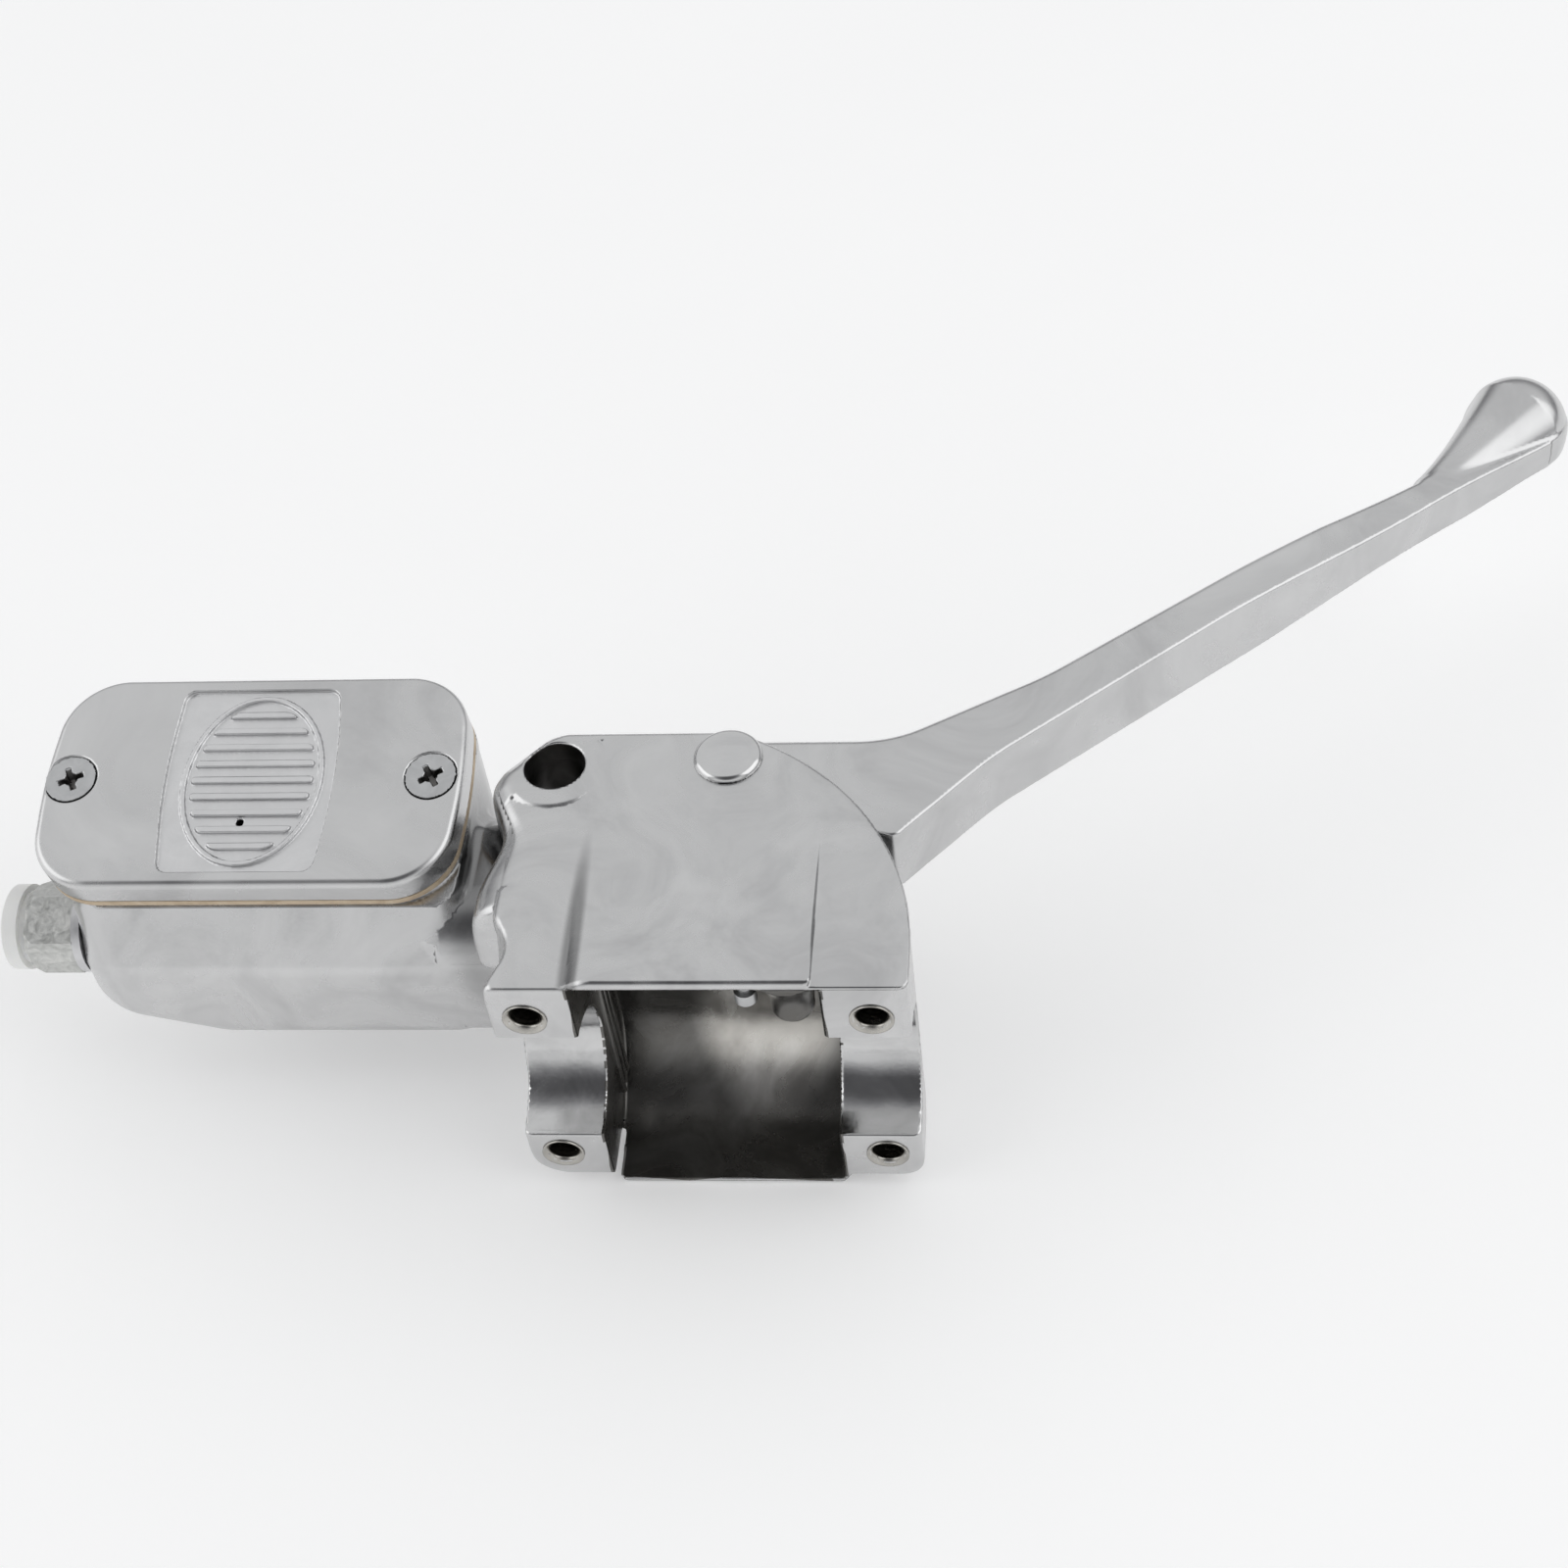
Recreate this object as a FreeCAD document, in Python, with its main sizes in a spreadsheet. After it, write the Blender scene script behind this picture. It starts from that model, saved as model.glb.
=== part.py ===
"""Handlebar front-brake master cylinder with its lever, as a parametric FreeCAD document.

Frame, in millimetres: +X along the handlebar towards the lever's tip, +Y forwards, away from the
rider, +Z up.  The origin is on the handlebar's axis, midway between the two clamp saddles.
"""
import FreeCAD, Part
import math
import os
import re

import Sketcher
from FreeCAD import Placement, Rotation, Vector

DOC = FreeCAD.newDocument("brake_master_cylinder")
SHEET = DOC.addObject("Spreadsheet::Sheet", "Sizes")

# Driving dimensions: one spreadsheet cell each, under the alias given here.
SIZES = {
    # handlebar clamp: the front half, with its parting face on Y = 0
    "bar_radius": 12.7,
    "clamp_left": 31.6,
    "clamp_right": 31.6,
    "clamp_low": 26.6,
    "land_low": 24.3,
    "clamp_front": 24.2,
    "clamp_screw_x": 25.7,
    "clamp_screw_z": 17.7,
    "clamp_hole_radius": 2.65,
    "clamp_hole_depth": 14.0,
    "clamp_hole_mouth": 3.15,
    # switch cavity between the saddles, open towards the rider
    "cavity_left": 18.4,
    "cavity_right": 18.4,
    "cavity_front": 22.0,
    "cavity_upper_front": 17.4,
    "cavity_low": 25.0,
    "cavity_groove": 1.0,
    # top plate, upper deck with the mirror boss, and lower deck with the pivot's lower ear
    "plate_top": 26.8,
    "plate_under": 24.6,
    "plate_front": 49.6,
    "deck_left": 36.2,
    "deck_right": 8.0,
    "deck_under": 8.5,
    "slot_floor": 11.2,
    "slot_rear": 19.8,
    "ear_top": 4.7,
    "ear_under": 9.7,
    "ear_radius": 8.4,
    "pad_drop": 1.8,
    "strip_drop": 1.2,
    "mirror_x": 25.8,
    "mirror_y": 42.6,
    "mirror_radius": 4.76,
    # cylinder, its bore and its outlet
    "bore_y": 30.5,
    "bore_z": 2.0,
    "bore_radius": 8.73,
    "cylinder_radius": 10.5,
    "bore_mouth": 32.0,
    "bore_bottom": 94.0,
    "port_bottom": 100.0,
    "port_radius": 4.76,
    "passage_radius": 1.75,
    "snap_groove_radius": 9.6,
    "snap_groove_near": 33.0,
    "snap_groove_far": 34.2,
    # reservoir: cover frame, seat and walls
    "cover_x": 75.2,
    "cover_y": 42.6,
    "cover_z": 24.2,
    "cover_tilt": 11.6,
    "cover_half_x": 34.6,
    "cover_half_y": 19.1,
    "cover_corner": 10.5,
    "cover_thick": 5.3,
    "cover_edge": 1.3,
    "cover_hollow_x": 23.5,
    "cover_hollow_y": 14.5,
    "cover_hollow_roof": 2.8,
    "gasket_thick": 1.2,
    "rim_thick": 2.5,
    "wall_left": 105.8,
    "outlet_face": 104.0,
    "spot_face_radius": 8.2,
    "wall_right": 41.4,
    "wall_rider": 20.0,
    "body_low": 15.3,
    "tank_half_x": 24.6,
    "tank_half_y": 15.5,
    "tank_deep": 38.0,
    "tank_front": 58.3,
    "cover_screw_gap": 29.4,
    "cover_screw_shift": 0.4,
    "cover_screw_head": 4.25,
    "cover_screw_shank": 2.0,
    "cover_screw_long": 11.5,
    "screw_boss_radius": 3.9,
    # lever
    "pivot_x": 1.6,
    "pivot_y": 43.7,
    "pivot_radius": 3.97,
    "pivot_clearance": 0.05,
    "pivot_head_radius": 5.45,
    "pivot_head_high": 1.5,
    "bush_radius": 5.2,
    "hub_radius": 6.6,
    "hub_low": 4.2,
    "lever_mid": 18.0,
    "lever_half_root": 6.3,
    "lever_half_tip": 4.2,
    "ball_x": 134.0,
    "ball_y": 129.0,
    "ball_radius": 9.1,
    "pin_radius": 3.1,
    "pin_low": 3.9,
    "pin_high": 7.9,
    "cheek_thick": 2.0,
    # pieces in the bore, measured from the origin towards the outlet
    "run_clearance": 0.05,
    "piston_rear": 37.5,
    "piston_front": 72.0,
    "waist_radius": 5.6,
    "rod_radius": 3.0,
    "rod_pad_radius": 3.4,
    "rod_gap": 0.15,
    "spring_radius": 6.0,
    "spring_wire": 1.1,
    "spring_turns": 7.5,
    # outlet fitting and its shipping cap
    "washer_thick": 1.4,
    "washer_radius": 7.4,
    "hex_long": 8.0,
    "hex_corner": 7.6,
    "cap_radius": 6.95,
}

X_AXIS, Y_AXIS, Z_AXIS = Vector(1, 0, 0), Vector(0, 1, 0), Vector(0, 0, 1)
ALONG = {"X": Rotation(Y_AXIS, 90), "Y": Rotation(X_AXIS, -90), "Z": Rotation()}
PLANES = {
    "XY": (Rotation(), Z_AXIS, "z"),
    "XZ": (Rotation(X_AXIS, 90), Y_AXIS, "y"),
    "YZ": (Rotation(Vector(1, 1, 1), 120), X_AXIS, "x"),
}
ALIAS = re.compile(r"[a-z][a-z0-9_]*")


def fill_sheet():
    """Writes one row of the sheet for each driving dimension."""
    for row, (alias, value) in enumerate(SIZES.items(), start=1):
        SHEET.set(f"A{row}", alias)
        SHEET.set(f"B{row}", str(value))
        SHEET.setAlias(f"B{row}", alias)
    DOC.recompute()


def mm(alias):
    """A driving dimension as the sheet holds it."""
    return float(getattr(SHEET, alias))


def cells(formula):
    """A formula written with bare aliases, made into one that FreeCAD can evaluate."""
    return ALIAS.sub(lambda word: "Sizes." + word.group(0), str(formula))


def bind(obj, **formulas):
    """Binds properties to formulas over the sheet; a double underscore stands for a dot."""
    for name, formula in formulas.items():
        obj.setExpression(name.replace("__", "."), cells(formula))
    return obj


def at(obj, x="0", y="0", z="0"):
    """Binds the place of an object."""
    return bind(obj, Placement__Base__x=x, Placement__Base__y=y, Placement__Base__z=z)


# ---- outlines -------------------------------------------------------------------------------

def corner_arc(before, corner, after, radius):
    """Start, middle and end of the arc that rounds one corner of an outline."""
    to_before = (before - corner).normalize()
    to_after = (after - corner).normalize()
    half = to_before.getAngle(to_after) / 2
    reach = radius / math.tan(half)
    bisector = (to_before + to_after).normalize()
    centre = corner + bisector * (radius / math.sin(half))
    return corner + to_before * reach, centre - bisector * radius, corner + to_after * reach


def outline_edges(points):
    """Lines and arcs round a closed outline of (x, y, corner radius) points."""
    corners = [Vector(x, y, 0) for x, y, _ in points]
    count = len(points)
    arcs = []
    for i, (_, _, radius) in enumerate(points):
        before, corner, after = corners[i - 1], corners[i], corners[(i + 1) % count]
        arcs.append(corner_arc(before, corner, after, radius) if radius else (corner, None, corner))
    edges = []
    for i, (start, middle, end) in enumerate(arcs):
        if middle is not None:
            edges.append(Part.Arc(start, middle, end))
        edges.append(Part.LineSegment(end, arcs[(i + 1) % count][0]))
    return edges


def rounded_rectangle(half_x, half_y, radius):
    """Outline of a rectangle about the origin with round corners."""
    return [(-half_x, -half_y, radius), (half_x, -half_y, radius),
            (half_x, half_y, radius), (-half_x, half_y, radius)]


# ---- objects of the document ----------------------------------------------------------------

def box(name, x, y, z):
    """A block between two formulas along each axis."""
    obj = DOC.addObject("Part::Box", name)
    bind(obj, Length=f"({x[1]}) - ({x[0]})", Width=f"({y[1]}) - ({y[0]})",
         Height=f"({z[1]}) - ({z[0]})")
    return at(obj, x[0], y[0], z[0])


def rod(name, axis, span, radius, place):
    """A round bar along one axis; place gives its other two coordinates in X, Y, Z order."""
    obj = DOC.addObject("Part::Cylinder", name)
    obj.Placement = Placement(Vector(), ALONG[axis])
    bind(obj, Radius=radius, Height=f"({span[1]}) - ({span[0]})")
    base = list(place)
    base.insert("XYZ".index(axis), span[0])
    return at(obj, *base)


def cone(name, axis, span, radii, place):
    """A round taper along one axis, with its radius at each end."""
    obj = DOC.addObject("Part::Cone", name)
    obj.Placement = Placement(Vector(), ALONG[axis])
    bind(obj, Radius1=radii[0], Radius2=radii[1], Height=f"({span[1]}) - ({span[0]})")
    base = list(place)
    base.insert("XYZ".index(axis), span[0])
    return at(obj, *base)


def ball(name, radius, place):
    """A sphere."""
    obj = DOC.addObject("Part::Sphere", name)
    bind(obj, Radius=radius)
    return at(obj, *place)


def prism(name, plane, points, span):
    """An outline in one plane, drawn out between two formulas along that plane's normal."""
    rotation, direction, letter = PLANES[plane]
    sketch = DOC.addObject("Sketcher::SketchObject", name + "_outline")
    sketch.addGeometry(outline_edges(points), False)
    sketch.Placement = Placement(Vector(), rotation)
    sketch.setExpression(f"Placement.Base.{letter}", cells(span[0]))
    obj = DOC.addObject("Part::Extrusion", name)
    obj.Base = sketch
    obj.DirMode = "Custom"
    obj.Dir = direction
    obj.Solid = True
    return bind(obj, LengthFwd=f"({span[1]}) - ({span[0]})")


def fuse(name, pieces):
    """One solid out of several that overlap."""
    obj = DOC.addObject("Part::MultiFuse", name)
    obj.Shapes = pieces
    obj.Refine = True
    return obj


def common(name, pieces):
    """What all the pieces share."""
    obj = DOC.addObject("Part::MultiCommon", name)
    obj.Shapes = pieces
    return obj


def cut(name, base, tool):
    """The base without the tool."""
    obj = DOC.addObject("Part::Cut", name)
    obj.Base = base
    obj.Tool = tool
    return obj


def group(name, pieces):
    """Several solids kept apart in one node."""
    obj = DOC.addObject("Part::Compound", name)
    obj.Links = pieces
    return obj


def on_cover(obj):
    """Moves a piece drawn in the cover's own frame to the reservoir's tilted top."""
    obj.Placement = Placement(Vector(), Rotation(X_AXIS, mm("cover_tilt")))
    bind(obj, Placement__Rotation__Angle="cover_tilt")
    return at(obj, "-cover_x", "cover_y", "cover_z")


def in_bore(obj):
    """Moves a piece turned about the X axis to the bore's axis."""
    return at(obj, "0", "bore_y", "bore_z")


def turned(name, points):
    """A PartDesign body turned about X from an outline of (x, radius) formulas."""
    body = DOC.addObject("PartDesign::Body", name)
    plane = next(f for f in body.Origin.OriginFeatures if f.Role == "XY_Plane")
    sketch = body.newObject("Sketcher::SketchObject", name + "_section")
    sketch.AttachmentSupport = (plane, "")
    sketch.MapMode = "FlatFace"
    values = [(value_of(x), value_of(r)) for x, r in points]
    count = len(points)
    for i, (x, r) in enumerate(values):
        x2, r2 = values[(i + 1) % count]
        sketch.addGeometry(Part.LineSegment(Vector(x, r, 0), Vector(x2, r2, 0)), False)
    for i, (x, r) in enumerate(points):
        sketch.addConstraint(Sketcher.Constraint("Coincident", i, 2, (i + 1) % count, 1))
        for kind, value, formula in (("DistanceX", values[i][0], x), ("DistanceY", values[i][1], r)):
            index = sketch.addConstraint(Sketcher.Constraint(kind, -1, 1, i, 1, value))
            sketch.setExpression(f"Constraints[{index}]", cells(formula))
    turn = body.newObject("PartDesign::Revolution", name + "_turn")
    turn.Profile = sketch
    turn.ReferenceAxis = (sketch, ["H_Axis"])
    turn.Angle = 360
    body.Tip = turn
    return body


def value_of(formula):
    """The number that a sum or difference of aliases and numbers comes to."""
    total = 0.0
    for sign, term in re.findall(r"([+-]?)\s*([a-z0-9_.]+)", str(formula)):
        number = mm(term) if term[0].isalpha() else float(term)
        total += -number if sign == "-" else number
    return total


def ring(name, near, far, outer, inner):
    """A washer or sleeve turned about X."""
    return turned(name, [(far, inner), (near, inner), (near, outer), (far, outer)])


# ---- the casting ----------------------------------------------------------------------------

def plan_outline():
    """Top plate seen from above: straight front, long arc down to the right clamp edge."""
    left, right, front = -mm("clamp_left"), mm("clamp_right"), mm("plate_front")
    return [(left, 0, 1.5), (right, 0, 1.5), (right, 36.1, 46.0), (2.4, front, 5.0),
            (-28.6, front, 3.0), (-mm("deck_left"), 40.8, 5.0), (left, 30.0, 12.0)]


def clamp_blank():
    """Front clamp half before it is bored: closed section, rounded lower corners."""
    low, front, top = mm("clamp_low"), mm("clamp_front"), mm("plate_top")
    section = [(0, -low, 0), (front, -low, 19.0),
               (front, mm("slot_floor"), 0.5), (mm("slot_rear"), mm("slot_floor"), 0),
               (mm("slot_rear"), top, 0), (0, top, 0)]
    left, right, land = -mm("clamp_left"), mm("clamp_right"), -mm("land_low")
    lip_left, lip_right = -mm("cavity_left") + 1.2, mm("cavity_right")
    face = [(left, land, 6.5), (lip_left - 1.4, land, 0.6), (lip_left, -low, 0.6),
            (lip_right, -low, 0.6), (lip_right + 1.4, land, 0.6), (right, land, 4.0),
            (right, top, 1.5), (left, top, 1.5)]
    return common("clamp_blank", [
        prism("clamp_section", "YZ", section, ("-clamp_left", "clamp_right")),
        prism("clamp_face", "XZ", face, ("0", "clamp_front")),
        prism("clamp_plan", "XY", plan_outline(), ("-clamp_low", "plate_top")),
    ])


def decks():
    """Top plate, the upper deck that holds the mirror stem, and the lower pivot ear."""
    left, right = -mm("clamp_left"), -mm("deck_right")
    front = mm("plate_front")
    upper = [(left, 15.0, 0), (right, 15.0, 0), (right, front, 3.0), (-28.6, front, 3.0),
             (-mm("deck_left"), 40.8, 5.0), (left, 30.0, 12.0)]
    reach = mm("ear_radius")
    ear_left, ear_right = mm("pivot_x") - reach, mm("pivot_x") + reach
    ear_front = mm("pivot_y") + reach
    lower = [(-34.0, 19.0, 0), (16.0, 19.0, 0), (14.0, 28.0, 4.0), (ear_right, 36.0, 4.0),
             (ear_right, ear_front, reach - 0.1), (ear_left, ear_front, reach - 0.1),
             (ear_left, 38.5, 3.0), (-34.0, 38.5, 4.0)]
    return [
        prism("top_plate", "XY", plan_outline(), ("plate_under", "plate_top")),
        prism("upper_deck", "XY", upper, ("deck_under", "plate_top")),
        prism("lower_deck", "XY", lower, ("-ear_under", "-ear_top")),
    ]


def reservoir_blank():
    """Reservoir walls and floor: the bore runs along the lower rider-side corner."""
    rider, low = mm("wall_rider"), -mm("body_low")
    left, right = -mm("wall_left"), -mm("wall_right")
    section = [(rider, 3.0, 6.0), (rider, low, 5.0), (50.0, low, 8.0), (61.0, -2.0, 10.0),
               (62.4, 40.0, 0), (38.2, 40.0, 0)]
    side = [(left, 40.0, 0), (left, low + 7.0, 11.0), (-84.0, low, 12.0), (right, low, 2.0),
            (right, 40.0, 0)]
    plan = [(left, rider - 1, 7.0), (right, rider - 1, 4.0), (right, 64.0, 8.0), (left, 64.0, 10.0)]
    rim = rounded_rectangle(mm("cover_half_x") - 0.7, mm("cover_half_y") - 0.5,
                            mm("cover_corner"))
    walls = common("reservoir_walls", [
        prism("reservoir_section", "YZ", section, ("-wall_left", "-wall_right")),
        prism("reservoir_side", "XZ", side, ("wall_rider - 2", "66")),
        prism("reservoir_plan", "XY", plan, ("-body_low", "40")),
    ])
    above = on_cover(group("above_seat", [box(
        "above_seat_block", ("-60", "60"), ("-60", "60"), ("-cover_thick - gasket_thick", "60"))]))
    seat_rim = prism("seat_rim_flat", "XY", rim, ("-cover_thick - gasket_thick - rim_thick",
                                                  "-cover_thick - gasket_thick"))
    bosses = [rod(f"screw_boss_{index}", "Z", ("-cover_screw_long - 1.5",
                                               "-cover_thick - gasket_thick - 0.5"),
                  "screw_boss_radius", screw_place(side_sign))
              for index, side_sign in enumerate((-1, 1))]
    return [cut("reservoir_below_seat", walls, above),
            on_cover(group("seat_rim", [seat_rim])), on_cover(group("screw_bosses", bosses))]


def casting_metal():
    """Everything that is cast, before holes and hollows."""
    neck = [(mm("wall_rider"), 3.5, 2.0), (mm("wall_rider"), -14.0, 5.0), (46.0, -14.0, 8.0),
            (50.0, 6.0, 4.0), (40.0, 12.0, 4.0), (27.0, 9.5, 3.0)]
    return fuse("casting_metal", [
        clamp_blank(), *decks(), *reservoir_blank(),
        prism("neck", "YZ", neck, ("-wall_right - 3", "-bore_mouth")),
        rod("cylinder_wall", "X", ("-wall_left", "-bore_mouth"), "cylinder_radius",
            ("bore_y", "bore_z")),
    ])


def clamp_cuts():
    """Handlebar bore, switch cavity, wiring grooves and the four tapped holes."""
    low, front, top = -mm("cavity_low"), mm("cavity_front"), mm("plate_under")
    shelf, upper_front = mm("slot_floor") - 1.6, mm("cavity_upper_front")
    section = [(-1, low, 0), (front, low, 17.0), (front, shelf, 2.0), (upper_front, shelf, 0),
               (upper_front, top, 4.0), (-1, top, 0)]
    cuts = [
        rod("bar_space", "X", ("-60", "60"), "bar_radius", ("0", "0")),
        prism("switch_cavity", "YZ", section, ("-cavity_left", "cavity_right")),
    ]
    for index, rear in enumerate((4.0, 8.0, 12.0)):
        cuts.append(box(f"wiring_groove_{index}", ("-cavity_left - cavity_groove", "-cavity_left + 1"),
                        (rear, rear + 1.6), ("-cavity_low + 3", "plate_under - 2")))
    for index, (x, z) in enumerate([(i, k) for i in (-1, 1) for k in (-1, 1)]):
        place = (f"{x} * clamp_screw_x", f"{z} * clamp_screw_z")
        cuts.append(rod(f"clamp_hole_{index}", "Y", ("-1", "clamp_hole_depth"),
                        "clamp_hole_radius", place))
        cuts.append(cone(f"clamp_hole_mouth_{index}", "Y", ("0", "0.5"),
                         ("clamp_hole_mouth", "clamp_hole_radius"), place))
    return cuts


def deck_cuts():
    """Mirror and pivot bores, and the shaped pads beside the raised middle of the plate."""
    top, under = mm("plate_top"), 28.0
    left_pad = [(-1, top - mm("pad_drop"), 0), (36.0, top, 0), (36.0, under, 0), (-1, under, 0)]
    right_pad = [(-1, top - mm("strip_drop"), 0), (30.0, top, 0), (30.0, under, 0), (-1, under, 0)]
    return [
        rod("mirror_bore", "Z", ("0", "30"), "mirror_radius", ("-mirror_x", "mirror_y")),
        rod("pivot_bore", "Z", ("-15", "30"), "pivot_radius + pivot_clearance",
            ("pivot_x", "pivot_y")),
        prism("left_pad", "YZ", left_pad, ("-clamp_left - 1", "-17.2")),
        prism("right_pad", "YZ", right_pad, ("17.6", "clamp_right + 1")),
        ball("tab_scoop", "7.2", ("-34.5", "9", "24.5")),
    ]


def bore_cuts():
    """Bore, snap-ring groove, outlet passage, outlet port and the two reservoir ports."""
    axis = ("bore_y", "bore_z")
    cuts = [
        rod("bore", "X", ("-bore_bottom", "-bore_mouth + 1"), "bore_radius", axis),
        rod("snap_groove", "X", ("-snap_groove_far", "-snap_groove_near"),
            "snap_groove_radius", axis),
        rod("outlet_passage", "X", ("-port_bottom - 1", "-bore_bottom + 1"),
            "passage_radius", axis),
        rod("outlet_port", "X", ("-outlet_face - 1", "-port_bottom"), "port_radius", axis),
        rod("outlet_spot_face", "X", ("-wall_left - 2", "-outlet_face"), "spot_face_radius", axis),
    ]
    for name, x, radius in (("return_port", "-75.6", "0.5"), ("feed_port", "-56", "1.2")):
        cuts.append(rod(name, "Z", ("bore_z", "bore_z + 13"), radius, (x, "bore_y")))
    return cuts


def reservoir_cuts():
    """Fluid space round the cylinder wall, and the tapped holes for the cover screws."""
    tank = rounded_rectangle(mm("tank_half_x"), mm("tank_half_y"), 6.0)
    tilted = on_cover(group("tank_tilted", [
        prism("tank", "XY", tank, ("-tank_deep", "-cover_thick"))]))
    left, right = 4.0 - mm("wall_left"), -4.0 - mm("wall_right")
    floor, front = 4.5 - mm("body_low"), mm("tank_front")
    across = [(0, floor, 0), (49.5, floor, 4.0), (front, -0.2, 6.0), (front, 40.0, 0), (0, 40.0, 0)]
    along = [(left, 40.0, 0), (left, floor + 5.0, 6.0), (-86.2, floor, 10.0), (right, floor, 0),
             (right, 40.0, 0)]
    space = common("tank_space", [
        tilted,
        prism("tank_across", "YZ", across, ("-wall_left + 4", "-wall_right - 4")),
        prism("tank_along", "XZ", along, ("0", "tank_front")),
    ])
    keep = rod("cylinder_kept", "X", ("-wall_left", "-wall_right"), "cylinder_radius",
               ("bore_y", "bore_z"))
    holes = [
        rod(f"cover_hole_{index}", "Z", ("-cover_screw_long - 1", "0"),
            "cover_screw_shank + 0.1", screw_place(side))
        for index, side in enumerate((-1, 1))
    ]
    return [cut("fluid_space", space, keep), on_cover(group("cover_holes", holes))]


def master_cylinder_body():
    """The one-piece casting: reservoir, cylinder, decks and front clamp half."""
    hollows = fuse("casting_hollows", clamp_cuts() + deck_cuts() + bore_cuts() + reservoir_cuts())
    boss = cone("switch_boss", "Z", ("12.6", "plate_under + 1"), ("2.0", "5.4"), ("12.8", "6.2"))
    return fuse("master_cylinder_body", [cut("casting_bored", casting_metal(), hollows), boss])


# ---- reservoir cover and what it holds down -------------------------------------------------

def screw_place(side):
    """Where a cover screw stands in the cover's own frame."""
    return f"{side} * cover_screw_gap - cover_screw_shift", "0.3"


def cover_outline(inset):
    """Rounded rectangle whose short ends swell slightly."""
    half_x, half_y = mm("cover_half_x") - inset, mm("cover_half_y") - inset
    corner = mm("cover_corner") - inset
    swell = 1.6
    return [(-half_x + swell, -half_y, corner), (half_x - swell, -half_y, corner),
            (half_x, 0, 90.0), (half_x - swell, half_y, corner),
            (-half_x + swell, half_y, corner), (-half_x, 0, 90.0)]


def rounded_top(name, base, radius):
    """Rounds the outer edges of a piece's highest face."""
    DOC.recompute()
    top = base.Shape.BoundBox.ZMax
    edges = [i for i, edge in enumerate(base.Shape.Edges, start=1)
             if abs(edge.BoundBox.ZMax - top) < 1e-6 and abs(edge.BoundBox.ZMin - top) < 1e-6]
    obj = DOC.addObject("Part::Fillet", name)
    obj.Base = base
    obj.Edges = [(i, radius, radius) for i in edges]
    return obj


def emblem_panel():
    """Barrel-sided panel sunk in the cover, as an outline."""
    return [(-12.6, -16.6, 2.0), (12.2, -16.6, 2.0), (14.2, 0, 100.0), (11.9, 16.6, 2.0),
            (-13.6, 16.6, 2.0), (-14.6, 0, 100.0)]


def emblem_ribs():
    """A plain ornament for the panel: rounded ribs that fill an oval."""
    ribs = []
    pitch, half_thick, reach_x, reach_y = 3.0, 0.75, 10.5, 14.6
    for index in range(-4, 5):
        y = index * pitch
        half = reach_x * math.sqrt(1 - (y / reach_y) ** 2)
        ribs.append(prism(f"emblem_rib_{index + 4}", "XY",
                          [(-half, y - half_thick, 0.7), (half, y - half_thick, 0.7),
                           (half, y + half_thick, 0.7), (-half, y + half_thick, 0.7)],
                          ("-0.8", "-0.15")))
    return ribs


def reservoir_cover():
    """Cast cover with a sunk panel, a ribbed ornament, screw seats and a vent."""
    blank = rounded_top("cover_blank", prism("cover_flat", "XY", cover_outline(0),
                                             ("-cover_thick", "0")), mm("cover_edge"))
    hollow = rounded_rectangle(mm("cover_hollow_x"), mm("cover_hollow_y"), 5.0)
    tools = [
        prism("cover_panel", "XY", emblem_panel(), ("-0.7", "1")),
        prism("cover_hollow", "XY", hollow, ("-cover_thick - 1", "-cover_hollow_roof")),
        rod("cover_vent", "Z", ("-6", "1"), "0.6", ("-0.8", "-7.5")),
    ]
    for index, side in enumerate((-1, 1)):
        place = screw_place(side)
        tools.append(rod(f"cover_screw_hole_{index}", "Z", ("-6", "1"),
                         "cover_screw_shank + 0.3", place))
        tools.append(cone(f"cover_screw_seat_{index}", "Z", ("-2.6", "0.1"),
                          ("cover_screw_shank + 0.2", "cover_screw_head + 0.15"), place))
    bare = cut("cover_bare", blank, fuse("cover_tools", tools))
    ribs = cut("cover_ornament", fuse("cover_ribs", emblem_ribs()),
               rod("cover_vent_clear", "Z", ("-6", "1"), "0.9", ("-0.8", "-7.5")))
    return on_cover(fuse("reservoir_cover", [bare, ribs]))


def cover_gasket():
    """Flat gasket between the cover and the reservoir's seat."""
    span = ("-cover_thick - gasket_thick", "-cover_thick")
    inner = rounded_rectangle(mm("tank_half_x") + 1.6, mm("tank_half_y") + 1.4, 7.0)
    tools = [prism("gasket_window", "XY", inner, ("-8", "0"))]
    for index, side in enumerate((-1, 1)):
        tools.append(rod(f"gasket_hole_{index}", "Z", ("-8", "0"), "cover_screw_shank + 0.3",
                         screw_place(side)))
    sheet = prism("gasket_sheet", "XY", cover_outline(0), span)
    return on_cover(cut("cover_gasket", sheet, fuse("gasket_tools", tools)))


def reservoir_diaphragm():
    """Rubber diaphragm: a flat rim on the seat and a shallow bellows tray below it."""
    rim = rounded_rectangle(mm("tank_half_x") + 1.4, mm("tank_half_y") + 1.2, 6.8)
    seat = "-cover_thick - gasket_thick"
    tray = [(-22.0, -6.0, 4.0), (22.0, -6.0, 4.0), (22.0, 12.5, 4.0), (-22.0, 12.5, 4.0)]
    inside = [(-21.0, -5.0, 3.0), (21.0, -5.0, 3.0), (21.0, 11.5, 3.0), (-21.0, 11.5, 3.0)]
    return on_cover(cut("reservoir_diaphragm", fuse("diaphragm_solid", [
        prism("diaphragm_rim", "XY", rim, (seat, seat + " + 0.9")),
        prism("diaphragm_tray", "XY", tray, ("-11", seat + " + 0.9")),
    ]), prism("diaphragm_inside", "XY", inside, ("-10.2", "0"))))


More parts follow.
